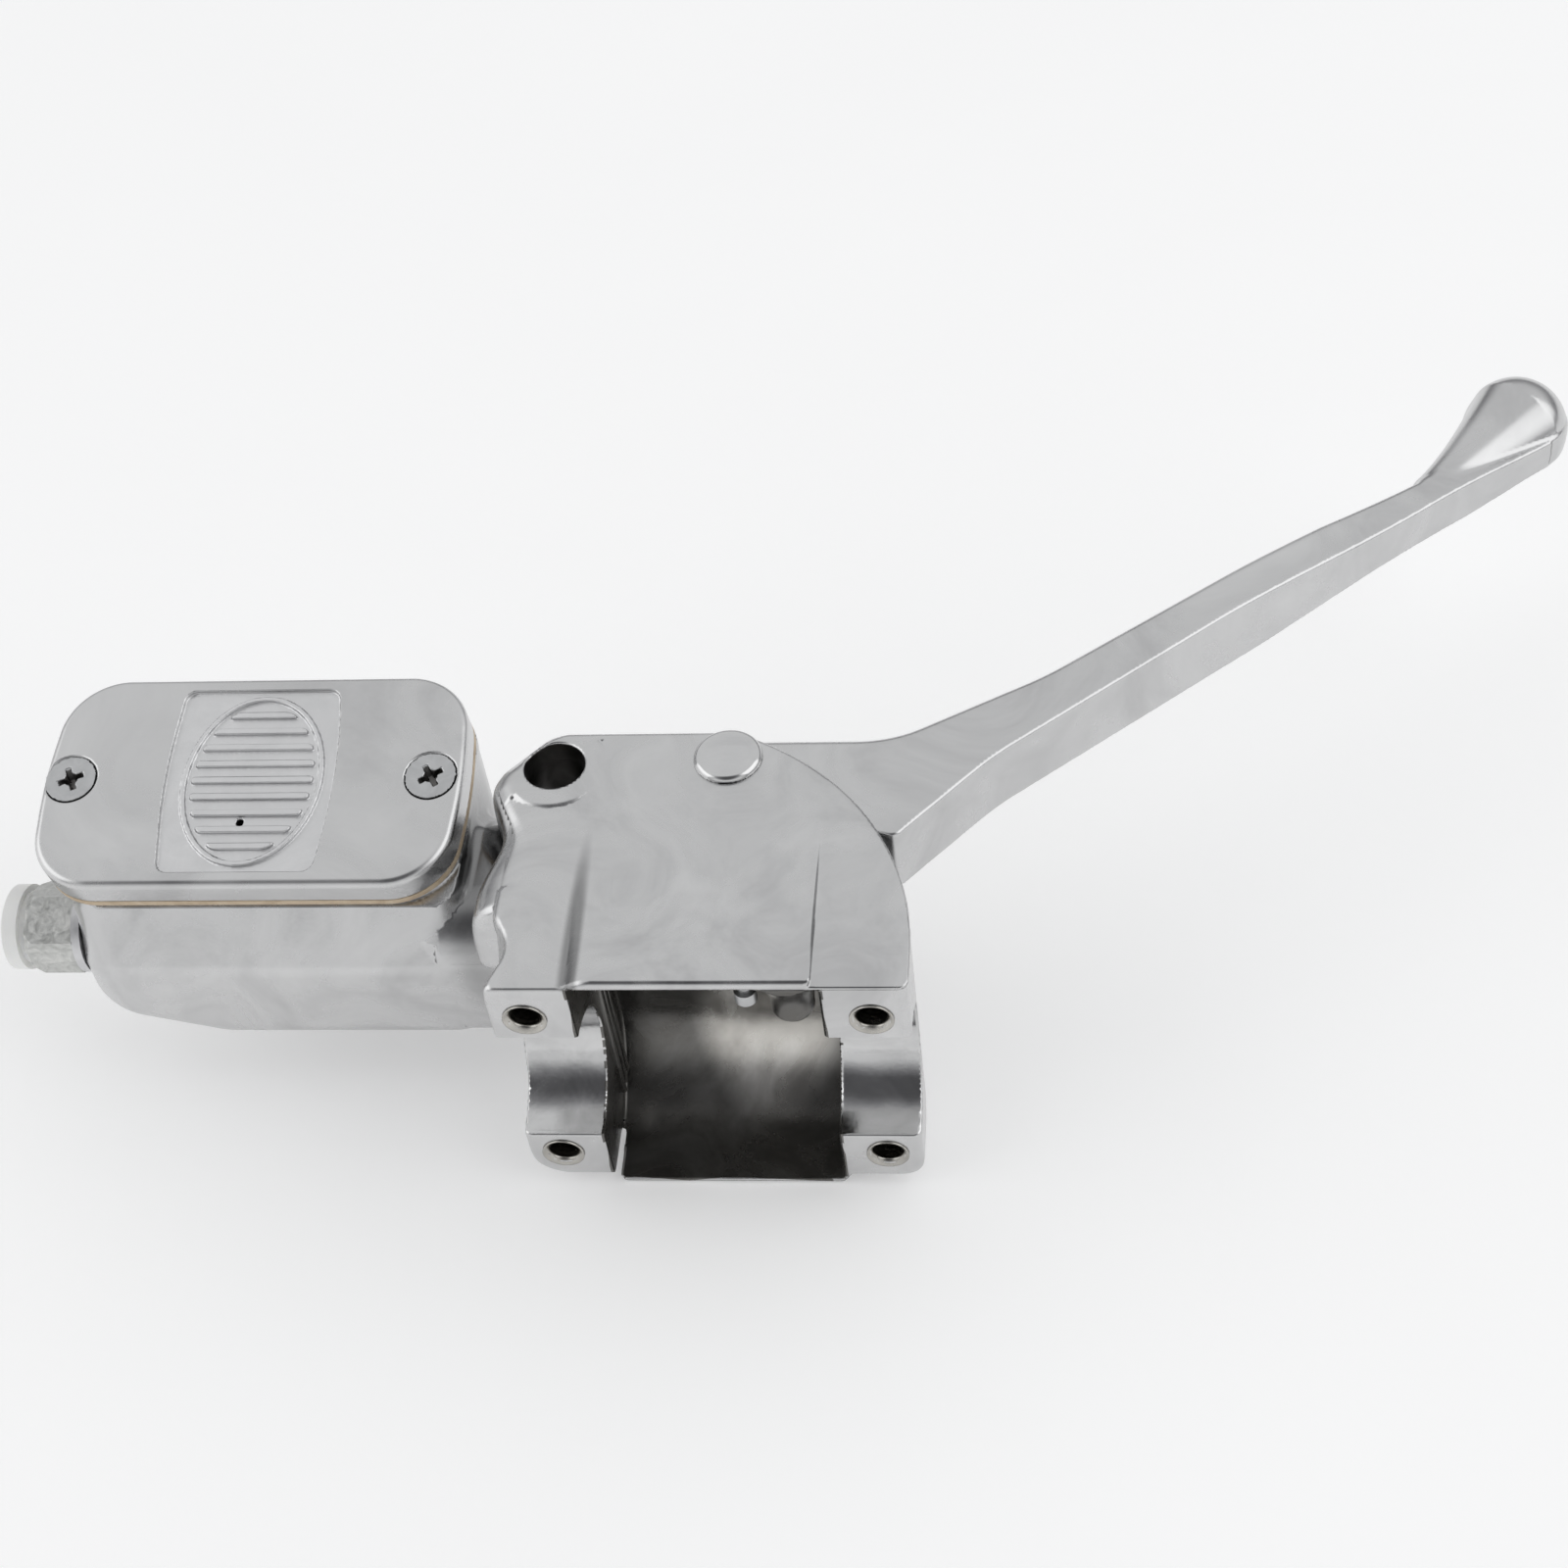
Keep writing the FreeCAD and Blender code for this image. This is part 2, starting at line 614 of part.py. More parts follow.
def cover_screws():
    """Two flat-head cross-recess screws."""
    screws = []
    for index, side in enumerate((-1, 1)):
        place = screw_place(side)
        x, y = place
        reach, blade = "2.2", "0.4"
        blank = fuse(f"screw_blank_{index}", [
            cone(f"screw_head_{index}", "Z", ("-2.5", "0"),
                 ("cover_screw_shank", "cover_screw_head"), place),
            rod(f"screw_shank_{index}", "Z", ("-cover_screw_long", "-2"), "cover_screw_shank",
                place),
        ])
        cross = fuse(f"screw_cross_{index}", [
            box(f"screw_slot_a_{index}", (f"{x} - {reach}", f"{x} + {reach}"),
                (f"{y} - {blade}", f"{y} + {blade}"), ("-1.6", "1")),
            box(f"screw_slot_b_{index}", (f"{x} - {blade}", f"{x} + {blade}"),
                (f"{y} - {reach}", f"{y} + {reach}"), ("-1.6", "1")),
        ])
        screws.append(cut(f"screw_{index}", blank, cross))
    return on_cover(group("cover_screws", screws))


# ---- lever and pivot ------------------------------------------------------------------------

def lever_outline():
    """Lever seen from above: wide web at the pivot, long tapering blade, neck at the ball."""
    hub_front = mm("pivot_y") + mm("hub_radius")
    return [(mm("pivot_x"), hub_front, 0), (26.5, hub_front, 20.0), (50.5, 64.0, 60.0),
            (97.0, 99.3, 60.0), (120.2, 115.2, 14.0), (124.9, 128.5, 0), (139.4, 121.6, 0),
            (118.9, 106.4, 150.0), (80.0, 76.0, 200.0), (43.0, 46.0, 50.0), (28.2, 29.6, 3.0),
            (12.0, 34.5, 8.0), (mm("pivot_x"), mm("pivot_y") - mm("hub_radius"), 0)]


def lever_flare():
    """Round taper that swells from the end of the blade into the ball."""
    end = Vector(121.0, 111.0, mm("lever_mid"))
    centre = Vector(mm("ball_x"), mm("ball_y"), mm("lever_mid"))
    obj = DOC.addObject("Part::Cone", "lever_flare")
    obj.Radius1 = mm("lever_half_tip")
    obj.Radius2 = mm("ball_radius") - 0.2
    obj.Height = (centre - end).Length
    obj.Placement = Placement(end, Rotation(Z_AXIS, centre - end))
    return obj


def brake_lever():
    """Forged lever: hub, web, blade and ball, with two cheeks for the push-rod pin."""
    mid, root, tip = mm("lever_mid"), mm("lever_half_root"), mm("lever_half_tip")
    side = [(-10.0, mid - root, 0), (85.0, mid - root, 60.0), (110.0, mid - tip - 0.3, 60.0),
            (150.0, mid - tip, 0), (150.0, mid + tip, 0), (110.0, mid + tip + 0.3, 60.0),
            (85.0, mid + root, 60.0), (-10.0, mid + root, 0)]
    blade = common("lever_blade", [
        prism("lever_plan", "XY", lever_outline(),
              ("lever_mid - lever_half_root", "lever_mid + lever_half_root")),
        prism("lever_side", "XZ", side, ("20", "150")),
    ])
    axis = ("pivot_x", "pivot_y")
    hub = rod("lever_hub", "Z", ("-hub_low", "lever_mid + lever_half_root"), "hub_radius", axis)
    knob = ball("lever_ball", "ball_radius", ("ball_x", "ball_y", "lever_mid"))
    flare = lever_flare()
    x, y, half = mm("pivot_x"), mm("bore_y"), 5.0
    cheek = [(x - half, y - half, half - 0.1), (x + half, y - half, half - 0.1),
             (x + half, mm("pivot_y"), 0), (x - half, mm("pivot_y"), 0)]
    cheeks = [
        prism("cheek_low", "XY", cheek, ("-pin_low", "-pin_low + cheek_thick")),
        prism("cheek_high", "XY", cheek, ("pin_high - cheek_thick", "pin_high")),
    ]
    bores = [
        rod("lever_bore", "Z", ("-20", "40"), "bush_radius", axis),
        rod("lever_pin_bore", "Z", ("-pin_low", "pin_high"), "pin_radius", ("pivot_x", "bore_y")),
    ]
    return cut("brake_lever", fuse("lever_blank", [blade, hub, knob, flare, *cheeks]),
               fuse("lever_bores", bores))


def lever_bush():
    """Bronze sleeve pressed into the lever's hub."""
    axis = ("pivot_x", "pivot_y")
    span = ("-hub_low", "lever_mid + lever_half_root")
    return cut("lever_bush", rod("bush_outer", "Z", span, "bush_radius", axis),
               rod("bush_inner", "Z", ("-20", "40"), "pivot_radius + pivot_clearance", axis))


def push_rod_pin():
    """Hardened pin across the lever's cheeks, which bears on the push rod."""
    return rod("push_rod_pin", "Z", ("-pin_low", "pin_high"), "pin_radius", ("pivot_x", "bore_y"))


def pivot_pin():
    """Headed pin through both decks; its domed head shows on the top plate."""
    axis = ("pivot_x", "pivot_y")
    head_high = mm("pivot_head_high")
    dome_radius = (mm("pivot_head_radius") ** 2 + head_high ** 2) / (2 * head_high)
    dome = common("pin_head", [
        ball("pin_dome", str(dome_radius), (*axis, f"plate_top + pivot_head_high - {dome_radius}")),
        rod("pin_head_edge", "Z", ("plate_top", "plate_top + 4"), "pivot_head_radius", axis),
    ])
    shaft = cut("pin_shaft", rod("pin_bar", "Z", ("-13", "plate_top"), "pivot_radius", axis), cut(
        "pin_groove", rod("pin_groove_outer", "Z", ("-11.4", "-10.4"), "pivot_radius + 1", axis),
        rod("pin_groove_core", "Z", ("-12", "-10"), "3.2", axis)))
    return fuse("pivot_pin", [shaft, dome])


def pivot_circlip():
    """Open retaining ring in the pin's lower groove."""
    axis = ("pivot_x", "pivot_y")
    blank = rod("circlip_blank", "Z", ("-11.3", "-10.5"), "6.2", axis)
    tools = fuse("circlip_tools", [
        rod("circlip_inner", "Z", ("-12", "-10"), "3.25", axis),
        box("circlip_mouth", ("pivot_x - 2.4", "pivot_x + 2.4"), ("pivot_y", "pivot_y + 8"),
            ("-12", "-10")),
    ])
    return cut("pivot_circlip", blank, tools)


def thrust_washer():
    """Thin washer between the lever's hub and the lower ear."""
    axis = ("pivot_x", "pivot_y")
    return cut("thrust_washer", rod("thrust_blank", "Z", ("-ear_top", "-hub_low - 0.05"), "6.4", axis),
               rod("thrust_bore", "Z", ("-10", "0"), "pivot_radius + 0.1", axis))


# ---- pieces in the bore ---------------------------------------------------------------------

def bore_pieces():
    """Everything that is assembled into the cylinder from its open end."""
    slide = "bore_radius - run_clearance"
    rear, front, waist = "-piston_rear", "-piston_front", "waist_radius"
    piston = turned("piston", [
        (rear, "3.3"), (rear, slide), ("-41", slide), ("-41", waist), ("-45", waist),
        ("-46.5", slide), ("-48", slide), ("-49", waist), ("-64", waist), ("-65", slide),
        ("-70", slide), ("-70", "4"), (front, "4"), (front, "0"), ("-44", "0"), ("-44", "3.3")])
    rod_end = "pivot_x - pin_radius - rod_gap"
    push_rod = turned("push_rod", [
        ("-43.8", "0"), ("-43.8", "1.6"), ("-42.6", "rod_radius"), ("-37.3", "rod_radius"),
        ("-37.3", "5.2"), ("-35.85", "5.2"), ("-35.85", "rod_radius"), ("-5.5", "rod_radius"),
        ("-4.5", "rod_pad_radius"), (rod_end, "rod_pad_radius"), (rod_end, "0")])
    boot = turned("dust_boot", [
        ("-32.9", "7.4"), ("-32.9", "8.6"), ("-31.9", "8.6"), ("-31.9", "6.2"), ("-29.5", "6.2"),
        ("-28", "4.9"), ("-26.5", "6"), ("-25", "4.7"), ("-23.5", "5.8"), ("-22", "4.5"),
        ("-20.5", "5.4"), ("-19", "4.2"), ("-16.5", "4.2"), ("-16.5", "3.05"), ("-19.4", "3.05"),
        ("-20.5", "4.5"), ("-22", "3.6"), ("-23.5", "4.9"), ("-25", "3.8"), ("-26.5", "5.1"),
        ("-28", "4"), ("-29.8", "5.3"), ("-31.5", "5.3"), ("-32.2", "5.8"), ("-32.2", "7.4")])
    primary = turned("primary_cup", [
        ("-70.5", "4.05"), ("-70.5", slide), ("-74.6", slide), ("-74.6", "7.6"), ("-72.2", "7"),
        ("-72.2", "4.05")])
    secondary = turned("secondary_cup", [
        ("-41.1", "5.65"), ("-41.1", slide), ("-44.9", slide), ("-44.9", "7.9"), ("-42.6", "7"),
        ("-42.6", "5.65")])
    seat = turned("spring_seat", [
        ("-72.3", "1.2"), ("-72.3", "6.6"), ("-74.4", "6.6"), ("-74.4", "7.2"), ("-75.2", "7.2"),
        ("-75.2", "4.4"), ("-77.5", "3.8"), ("-77.5", "1.2")])
    pieces = [piston, push_rod, boot, primary, secondary, seat,
              ring("cup_spacer", "-70.05", "-70.45", "7.6", "4.05"),
              ring("retaining_washer", "-snap_groove_far - 0.05", "-35.8", slide, "4.4")]
    return [in_bore(piece) for piece in pieces]


def snap_ring():
    """Open internal ring that keeps the retaining washer in the bore."""
    near, far = "-snap_groove_near - 0.1", "-snap_groove_far + 0.1"
    axis = ("bore_y", "bore_z")
    tools = fuse("snap_tools", [
        rod("snap_inner", "X", ("-36", "-30"), "7.6", axis),
        box("snap_mouth", ("-36", "-30"), ("bore_y - 2.2", "bore_y + 2.2"), ("bore_z", "bore_z + 12")),
    ])
    return cut("snap_ring", rod("snap_blank", "X", (far, near), "snap_groove_radius - 0.05", axis),
               tools)


def return_spring():
    """Coil spring between the bore's bottom and the spring seat."""
    wire, radius = mm("spring_wire"), mm("spring_radius")
    start = -mm("bore_bottom") + wire / 2 + 0.05
    end = -75.2 - wire / 2 - 0.05
    pitch = (end - start) / mm("spring_turns")
    coil = Part.makeHelix(pitch, end - start, radius)
    section = Part.Wire(Part.makeCircle(wire / 2, Vector(radius, 0, 0), Y_AXIS))
    obj = DOC.addObject("Part::Feature", "return_spring")
    obj.Shape = Part.Wire(coil.Edges).makePipeShell([section], True, True)
    obj.Placement = Placement(Vector(start, mm("bore_y"), mm("bore_z")), ALONG["X"])
    return obj


# ---- outlet ---------------------------------------------------------------------------------

def crush_washer():
    """Soft aluminium sealing washer under the outlet fitting."""
    return in_bore(ring("crush_washer", "-outlet_face", "-outlet_face - washer_thick",
                        "washer_radius", "port_radius + 0.2"))


def outlet_fitting():
    """Hexagonal brake-line adapter screwed into the outlet port."""
    axis = ("bore_y", "bore_z")
    hexagon = DOC.addObject("Part::Prism", "fitting_hexagon")
    hexagon.Polygon = 6
    hexagon.Placement = Placement(Vector(), ALONG["X"])
    bind(hexagon, Circumradius="hex_corner", Height="hex_long")
    at(hexagon, "-outlet_face - washer_thick - hex_long", *axis)
    chamfer = cone("fitting_chamfer", "X", ("-outlet_face - washer_thick - hex_long",
                                            "-outlet_face - washer_thick"),
                   ("hex_corner - 0.7", "hex_corner + 3.3"), axis)
    stub = rod("fitting_stub", "X", ("-outlet_face - washer_thick - 1", "-port_bottom - 0.6"),
               "port_radius - 0.05", axis)
    tools = fuse("fitting_tools", [
        rod("fitting_bore", "X", ("-130", "-90"), "1.6", axis),
        rod("fitting_socket", "X", ("-130", "-outlet_face - washer_thick - hex_long + 5"), "4.3", axis),
    ])
    blank = fuse("fitting_blank", [common("fitting_hex", [hexagon, chamfer]), stub])
    return cut("outlet_fitting", blank, tools)


def thread_cap():
    """Push-in plastic plug that keeps the open outlet clean."""
    face = -mm("outlet_face") - mm("washer_thick") - mm("hex_long")
    return in_bore(turned("thread_cap", [
        (f"{face + 4}", "3.4"), (f"{face + 4}", "4.2"), (f"{face}", "4.25"), (f"{face}", "5.9"),
        (f"{face - 1.3}", "5.9"), (f"{face - 1.3}", "cap_radius"), (f"{face - 3.7}", "cap_radius"),
        (f"{face - 3.7}", "3.4")]))


def switch_screw():
    """Small round-head screw under the top plate, in the switch cavity."""
    place = ("7.1", "3.6")
    return fuse("switch_screw", [
        rod("switch_screw_head", "Z", ("plate_under - 6", "plate_under - 3.8"), "1.7", place),
        cone("switch_screw_crown", "Z", ("plate_under - 6.8", "plate_under - 6"), ("1.0", "1.7"),
             place),
        rod("switch_screw_shank", "Z", ("plate_under - 4", "plate_under - 0.02"), "1.1", place),
    ])


def build():
    """All sub-parts, one per node."""
    return [
        master_cylinder_body(), reservoir_cover(), cover_gasket(), reservoir_diaphragm(),
        cover_screws(), brake_lever(), lever_bush(), push_rod_pin(), pivot_pin(),
        pivot_circlip(), thrust_washer(), *bore_pieces(), snap_ring(), return_spring(),
        crush_washer(), outlet_fitting(), thread_cap(), switch_screw(),
    ]


def check(nodes):
    """Stops if any object failed or any sub-part is not a sound solid."""
    for obj in DOC.Objects:
        if {"Invalid", "Error"} & set(obj.State):
            raise RuntimeError(f"{obj.Name} failed: {obj.State}")
    for obj in nodes:
        shape = obj.Shape
        if shape.isNull() or not shape.isValid() or not shape.Solids:
            raise RuntimeError(f"{obj.Label} is not a valid solid")
        print(f"{obj.Label:24s} solids {len(shape.Solids)}  volume {shape.Volume:10.2f}")


def main():
    fill_sheet()
    nodes = build()
    DOC.recompute()
    check(nodes)
    os.makedirs("parts", exist_ok=True)
    for obj in nodes:
        obj.Shape.exportStep(os.path.join("parts", obj.Label + ".step"))


main()
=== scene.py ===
"""Looks of a handlebar brake master cylinder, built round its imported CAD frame.

The cast and forged pieces are solids of signed distance, worked out in millimetres in the CAD's
own frame and turned into meshes whose normals come from the distance itself, so their blends are
as soft as a casting's.  The threads and the return spring are swept meshes.  Every other piece
keeps its CAD mesh and gets a material here.
"""

import bpy
import numpy as np
from mathutils import Matrix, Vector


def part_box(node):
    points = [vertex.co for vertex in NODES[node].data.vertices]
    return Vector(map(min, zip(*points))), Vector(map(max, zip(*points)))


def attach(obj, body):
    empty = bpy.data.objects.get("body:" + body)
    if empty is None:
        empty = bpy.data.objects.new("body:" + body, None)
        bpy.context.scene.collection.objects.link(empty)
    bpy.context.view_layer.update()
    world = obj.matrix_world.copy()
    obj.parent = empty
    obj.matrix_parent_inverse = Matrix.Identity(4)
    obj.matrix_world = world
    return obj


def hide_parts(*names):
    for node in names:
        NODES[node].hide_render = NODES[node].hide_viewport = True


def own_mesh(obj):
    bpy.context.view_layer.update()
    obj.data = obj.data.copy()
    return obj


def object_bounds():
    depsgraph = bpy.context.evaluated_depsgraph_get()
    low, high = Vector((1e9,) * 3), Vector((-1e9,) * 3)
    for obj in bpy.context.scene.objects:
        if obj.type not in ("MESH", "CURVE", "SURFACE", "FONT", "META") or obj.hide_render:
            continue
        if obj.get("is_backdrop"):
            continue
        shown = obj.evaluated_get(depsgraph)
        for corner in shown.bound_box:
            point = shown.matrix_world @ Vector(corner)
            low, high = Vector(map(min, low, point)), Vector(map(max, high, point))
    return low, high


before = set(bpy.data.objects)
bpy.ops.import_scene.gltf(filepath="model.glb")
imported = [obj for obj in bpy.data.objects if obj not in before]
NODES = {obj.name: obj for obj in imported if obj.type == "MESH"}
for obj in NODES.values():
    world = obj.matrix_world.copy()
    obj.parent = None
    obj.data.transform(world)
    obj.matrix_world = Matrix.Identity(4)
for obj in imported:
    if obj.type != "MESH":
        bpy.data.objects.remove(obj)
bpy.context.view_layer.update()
MM = 0.001


# ---- signed distances -----------------------------------------------------------------------

def unit(vector):
    """The vector at a length of one."""
    return vector / np.linalg.norm(vector)


class Outline:
    """Closed outline with straight sides and round corners, and its exact signed distance.

    corners holds (u, v, radius) anticlockwise, and every radius is above zero.
    """

    def __init__(self, corners):
        points = np.array([corner[:2] for corner in corners], float)
        count = len(points)
        self.arcs, self.sides, ends = [], [], []
        for i, (_, _, radius) in enumerate(corners):
            back = unit(points[i - 1] - points[i])
            ahead = unit(points[(i + 1) % count] - points[i])
            half = np.arccos(np.clip(back @ ahead, -1, 1)) / 2
            bisector = unit(back + ahead)
            turn = np.sign(ahead[0] * back[1] - ahead[1] * back[0])
            centre = points[i] + bisector * radius / np.sin(half)
            self.arcs.append((centre, -bisector, radius, np.sin(half), turn))
            reach = radius / np.tan(half)
            ends.append((points[i] + back * reach, points[i] + ahead * reach))
        for i in range(count):
            start, end = ends[i][1], ends[(i + 1) % count][0]
            self.sides.append((start, unit(end - start), np.linalg.norm(end - start)))

    def distance(self, u, v):
        best = np.full(np.broadcast(u, v).shape, 1e6)
        for centre, outward, radius, spread, turn in self.arcs:
            du, dv = u - centre[0], v - centre[1]
            far = np.hypot(du, dv)
            near = turn * (far - radius)
            seen = du * outward[0] + dv * outward[1] >= far * spread - 1e-9
            best = np.where(seen & (np.abs(near) < np.abs(best)), near, best)
        for start, along, length in self.sides:
            du, dv = u - start[0], v - start[1]
            near = du * along[1] - dv * along[0]
            place = du * along[0] + dv * along[1]
            seen = (place >= -1e-6) & (place <= length + 1e-6)
            best = np.where(seen & (np.abs(near) < np.abs(best)), near, best)
        return best


def join(a, b, radius):
    """Union with a concave fillet."""
    return np.maximum(radius, np.minimum(a, b)) - np.hypot(np.maximum(radius - a, 0),
                                                           np.maximum(radius - b, 0))


def keep(a, b, radius):
    """Intersection with a rounded edge."""
    return np.minimum(-radius, np.maximum(a, b)) + np.hypot(np.maximum(radius + a, 0),
                                                            np.maximum(radius + b, 0))


def carve(a, b, radius):
    """a without b, with a rounded edge."""
    return keep(a, -b, radius)


def slab(w, low, high):
    """The space between two parallel planes."""
    return np.maximum(low - w, w - high)


def rod(u, v, centre, radius):
    """An endless round rod, seen along its axis."""
    return np.hypot(u - centre[0], v - centre[1]) - radius


def ellipsoid(x, y, z, centre, radii):
    """Distance from an ellipsoid, close to exact near its surface."""
    p = [w - c for w, c in zip((x, y, z), centre)]
    near = np.sqrt(sum((w / r) ** 2 for w, r in zip(p, radii)))
    slope = np.sqrt(sum((w / r ** 2) ** 2 for w, r in zip(p, radii)))
    return near * (near - 1) / np.maximum(slope, 1e-6)


# ---- from distance to mesh ------------------------------------------------------------------

def add_object(name, data):
    """A new object in the scene's own collection."""
    made = bpy.data.objects.new(name, data)
    bpy.context.scene.collection.objects.link(made)
    return made


def swept(name, points, faces):
    """A smooth object made from points in metres and faces."""
    mesh = bpy.data.meshes.new(name)
    mesh.from_pydata(points, [], faces)
    mesh.shade_smooth()
    return add_object(name, mesh)


CORNERS = np.array([(i, j, k) for i in (0, 1) for j in (0, 1) for k in (0, 1)])
EDGES = [(a, b) for a in range(8) for b in range(a + 1, 8)
         if np.abs(CORNERS[a] - CORNERS[b]).sum() == 1]


def cell_net(distance, low, high, pitch):
    """Points and quads of the zero surface, one point per grid cell that it crosses."""
    axes = [np.arange(a, b + pitch, pitch) for a, b in zip(low, high)]
    x, y, z = np.meshgrid(*axes, indexing="ij", sparse=True)
    field = np.broadcast_to(distance(x, y, z), [len(a) for a in axes]).astype(np.float32)
    inside = field < 0
    size = [n - 1 for n in field.shape]

    def corner(values, offset):
        return values[tuple(slice(o, o + n) for o, n in zip(offset, size))]

    count = sum(corner(inside, offset).astype(np.uint8) for offset in CORNERS)
    cells = np.argwhere((count > 0) & (count < 8))
    number = np.full(size, -1, np.int32)
    number[tuple(cells.T)] = np.arange(len(cells))
    values = np.array([field[tuple((cells + offset).T)] for offset in CORNERS])
    total, hits = np.zeros((len(cells), 3)), np.zeros((len(cells), 1))
    for a, b in EDGES:
        crossed = ((values[a] < 0) != (values[b] < 0))[:, None]
        share = (values[a] / np.where(crossed[:, 0], values[a] - values[b], 1))[:, None]
        total += crossed * (CORNERS[a] + share * (CORNERS[b] - CORNERS[a]))
        hits += crossed
    points = np.array(low) + pitch * (cells + total / hits)
    quads = []
    for axis in range(3):
        first, second = (axis + 1) % 3, (axis + 2) % 3
        step = np.eye(3, dtype=int)
        lower = inside[tuple(slice(0, -1) if n == axis else slice(1, -1) for n in range(3))]
        upper = inside[tuple(slice(1, None) if n == axis else slice(1, -1) for n in range(3))]
        place = np.argwhere(lower != upper)
        out = lower[tuple(place.T)]
        place[:, [first, second]] += 1
        ring = [place - step[first] - step[second], place - step[second], place,
                place - step[first]]
        faces = np.stack([number[tuple(cell.T)] for cell in ring], 1)
        quads.append(np.where(out[:, None], faces, faces[:, ::-1]))
    return points, np.concatenate(quads)


TETRAHEDRON = np.array([(1, -1, -1), (-1, -1, 1), (-1, 1, -1), (1, 1, 1)], float)


def slope_at(distance, points, reach=0.02):
    """Unit gradient of a distance, from four samples round each point."""
    total = sum(k * distance(*(points + reach * k).T)[:, None] for k in TETRAHEDRON)
    return total / np.maximum(np.linalg.norm(total, axis=1, keepdims=True), 1e-9)


def settle(distance, points, rounds, most):
    """Moves points onto the zero surface."""
    for _ in range(rounds):
        step = np.clip(distance(*points.T), -most, most)[:, None]
        points = points - step * slope_at(distance, points)
    return points


def relax(points, quads, distance, rounds, most):
    """Evens out the net by averaging neighbours, then puts it back on the surface."""
    ends = np.concatenate([quads[:, [n, (n + 1) % 4]] for n in range(4)])
    weight = np.bincount(ends[:, 0], minlength=len(points))[:, None]
    for _ in range(rounds):
        average = np.stack([np.bincount(ends[:, 0], points[ends[:, 1], n], len(points))
                            for n in range(3)], 1) / np.maximum(weight, 1)
        points = settle(distance, points + 0.6 * (average - points), 1, most)
    return points


def mesh_piece(name, distance, low, high, pitch, share):
    """An object made from a distance; share is how much of the first net is kept."""
    points, quads = cell_net(distance, low, high, pitch)
    points = relax(points, quads, distance, 2, pitch)
    mesh = bpy.data.meshes.new(name)
    mesh.from_pydata(points, [], quads.tolist())
    piece = add_object(name, mesh)
    thin = piece.modifiers.new("thin", "DECIMATE")
    thin.ratio = share
    bpy.context.view_layer.update()
    lean = bpy.data.meshes.new_from_object(piece.evaluated_get(
        bpy.context.evaluated_depsgraph_get()))
    piece.modifiers.clear()
    piece.data = lean
    bpy.data.meshes.remove(mesh)
    co = np.empty(len(lean.vertices) * 3)
    lean.vertices.foreach_get("co", co)
    points = settle(distance, co.reshape(-1, 3), 2, pitch / 4)
    lean.vertices.foreach_set("co", (points * MM).ravel())
    lean.shade_smooth()
    lean.normals_split_custom_set_from_vertices(slope_at(distance, points).tolist())
    lean.update()
    lean.name = name
    print(name, "vertices", len(lean.vertices), "faces", len(lean.polygons))
    return piece


# ---- the casting ----------------------------------------------------------------------------

BAR_RADIUS = 12.7
CAVITY_HALF = 18.4
SCREW_X, SCREW_Z, SCREW_HOLE = 25.7, 17.7, 2.65
CLAMP_HOLES = [(side_x, side_z) for side_x in (-SCREW_X, SCREW_X)
               for side_z in (-SCREW_Z, SCREW_Z)]
CLAMP_HOLE_END = 14
TOP, UNDER = 26.8, 24.6
PIVOT, MIRROR = (1.6, 43.7), (-25.8, 42.6)
MIRROR_HOLE = 4.76
BORE = (30.5, 2.0)
BORE_RADIUS, PORT_RADIUS, BARREL_RADIUS = 8.73, 4.76, 10.5
BORE_BOTTOM_X = -94.0
COVER_CENTRE = (-75.2, 42.6, 24.2)
COVER_TILT = np.radians(11.6)
SEAT = -6.5

PLAN = Outline([(-31.6, 0, 1.5), (31.6, 0, 1.5), (31.6, 36.1, 46), (2.4, 49.6, 5),
                (-28.6, 49.6, 3), (-36.2, 40.8, 5), (-31.6, 30, 12)])
CLAMP_SECTION = Outline([(0, -27, 0.5), (24.2, -27, 19), (24.2, 11.2, 0.8), (19.8, 11.2, 0.8),
                         (19.8, 26.2, 0.8), (0, 26.2, 1.2)])
CLAMP_FACE = Outline([(-31.6, -24.3, 6.5), (-18.6, -24.3, 0.6), (-17.2, -26.6, 0.6),
                      (18.4, -26.6, 0.6), (19.8, -24.3, 0.6), (31.6, -24.3, 4),
                      (31.6, 26.8, 1.2), (-31.6, 26.8, 1.2)])
CAVITY = Outline([(-4, -25.2, 0.5), (22, -25.2, 17), (22, 9.6, 1.5), (17.4, 9.6, 0.6),
                  (17.4, 24.6, 3.4), (-4, 24.6, 0.5)])
DECK = Outline([(-31.6, 15, 2), (-8, 15, 1), (-8, 49.6, 3), (-28.6, 49.6, 3), (-36.2, 40.8, 5),
                (-31.6, 30, 12)])
EAR = Outline([(-34, 19, 2), (16, 19, 1), (14, 28, 4), (10, 36, 4), (10, 52.1, 8.3),
               (-6.8, 52.1, 8.3), (-6.8, 38.5, 3), (-34, 38.5, 4)])
TANK_SECTION = Outline([(20, -24, 2), (43.7, -24, 2), (61, -2, 10), (62.4, 40, 1),
                        (38.2, 40, 1), (20, 3, 6)])
TANK_SIDE = Outline([(-112, -6.3, 1), (-84, -15.3, 12), (-30, -15.3, 2), (-30, 40, 1),
                     (-112, 40, 1)])
TANK_PLAN = Outline([(-105.8, 10, 1), (-41.4, 10, 1), (-41.4, 62.4, 10), (-105.8, 62.8, 9)])
RIM = Outline([(-33.9, -18.6, 10.5), (33.9, -18.6, 10.5), (33.9, 18.6, 10.5),
               (-33.9, 18.6, 10.5)])
TANK_INSIDE = Outline([(-24.6, -15.5, 6), (24.6, -15.5, 6), (24.6, 15.5, 6), (-24.6, 15.5, 6)])
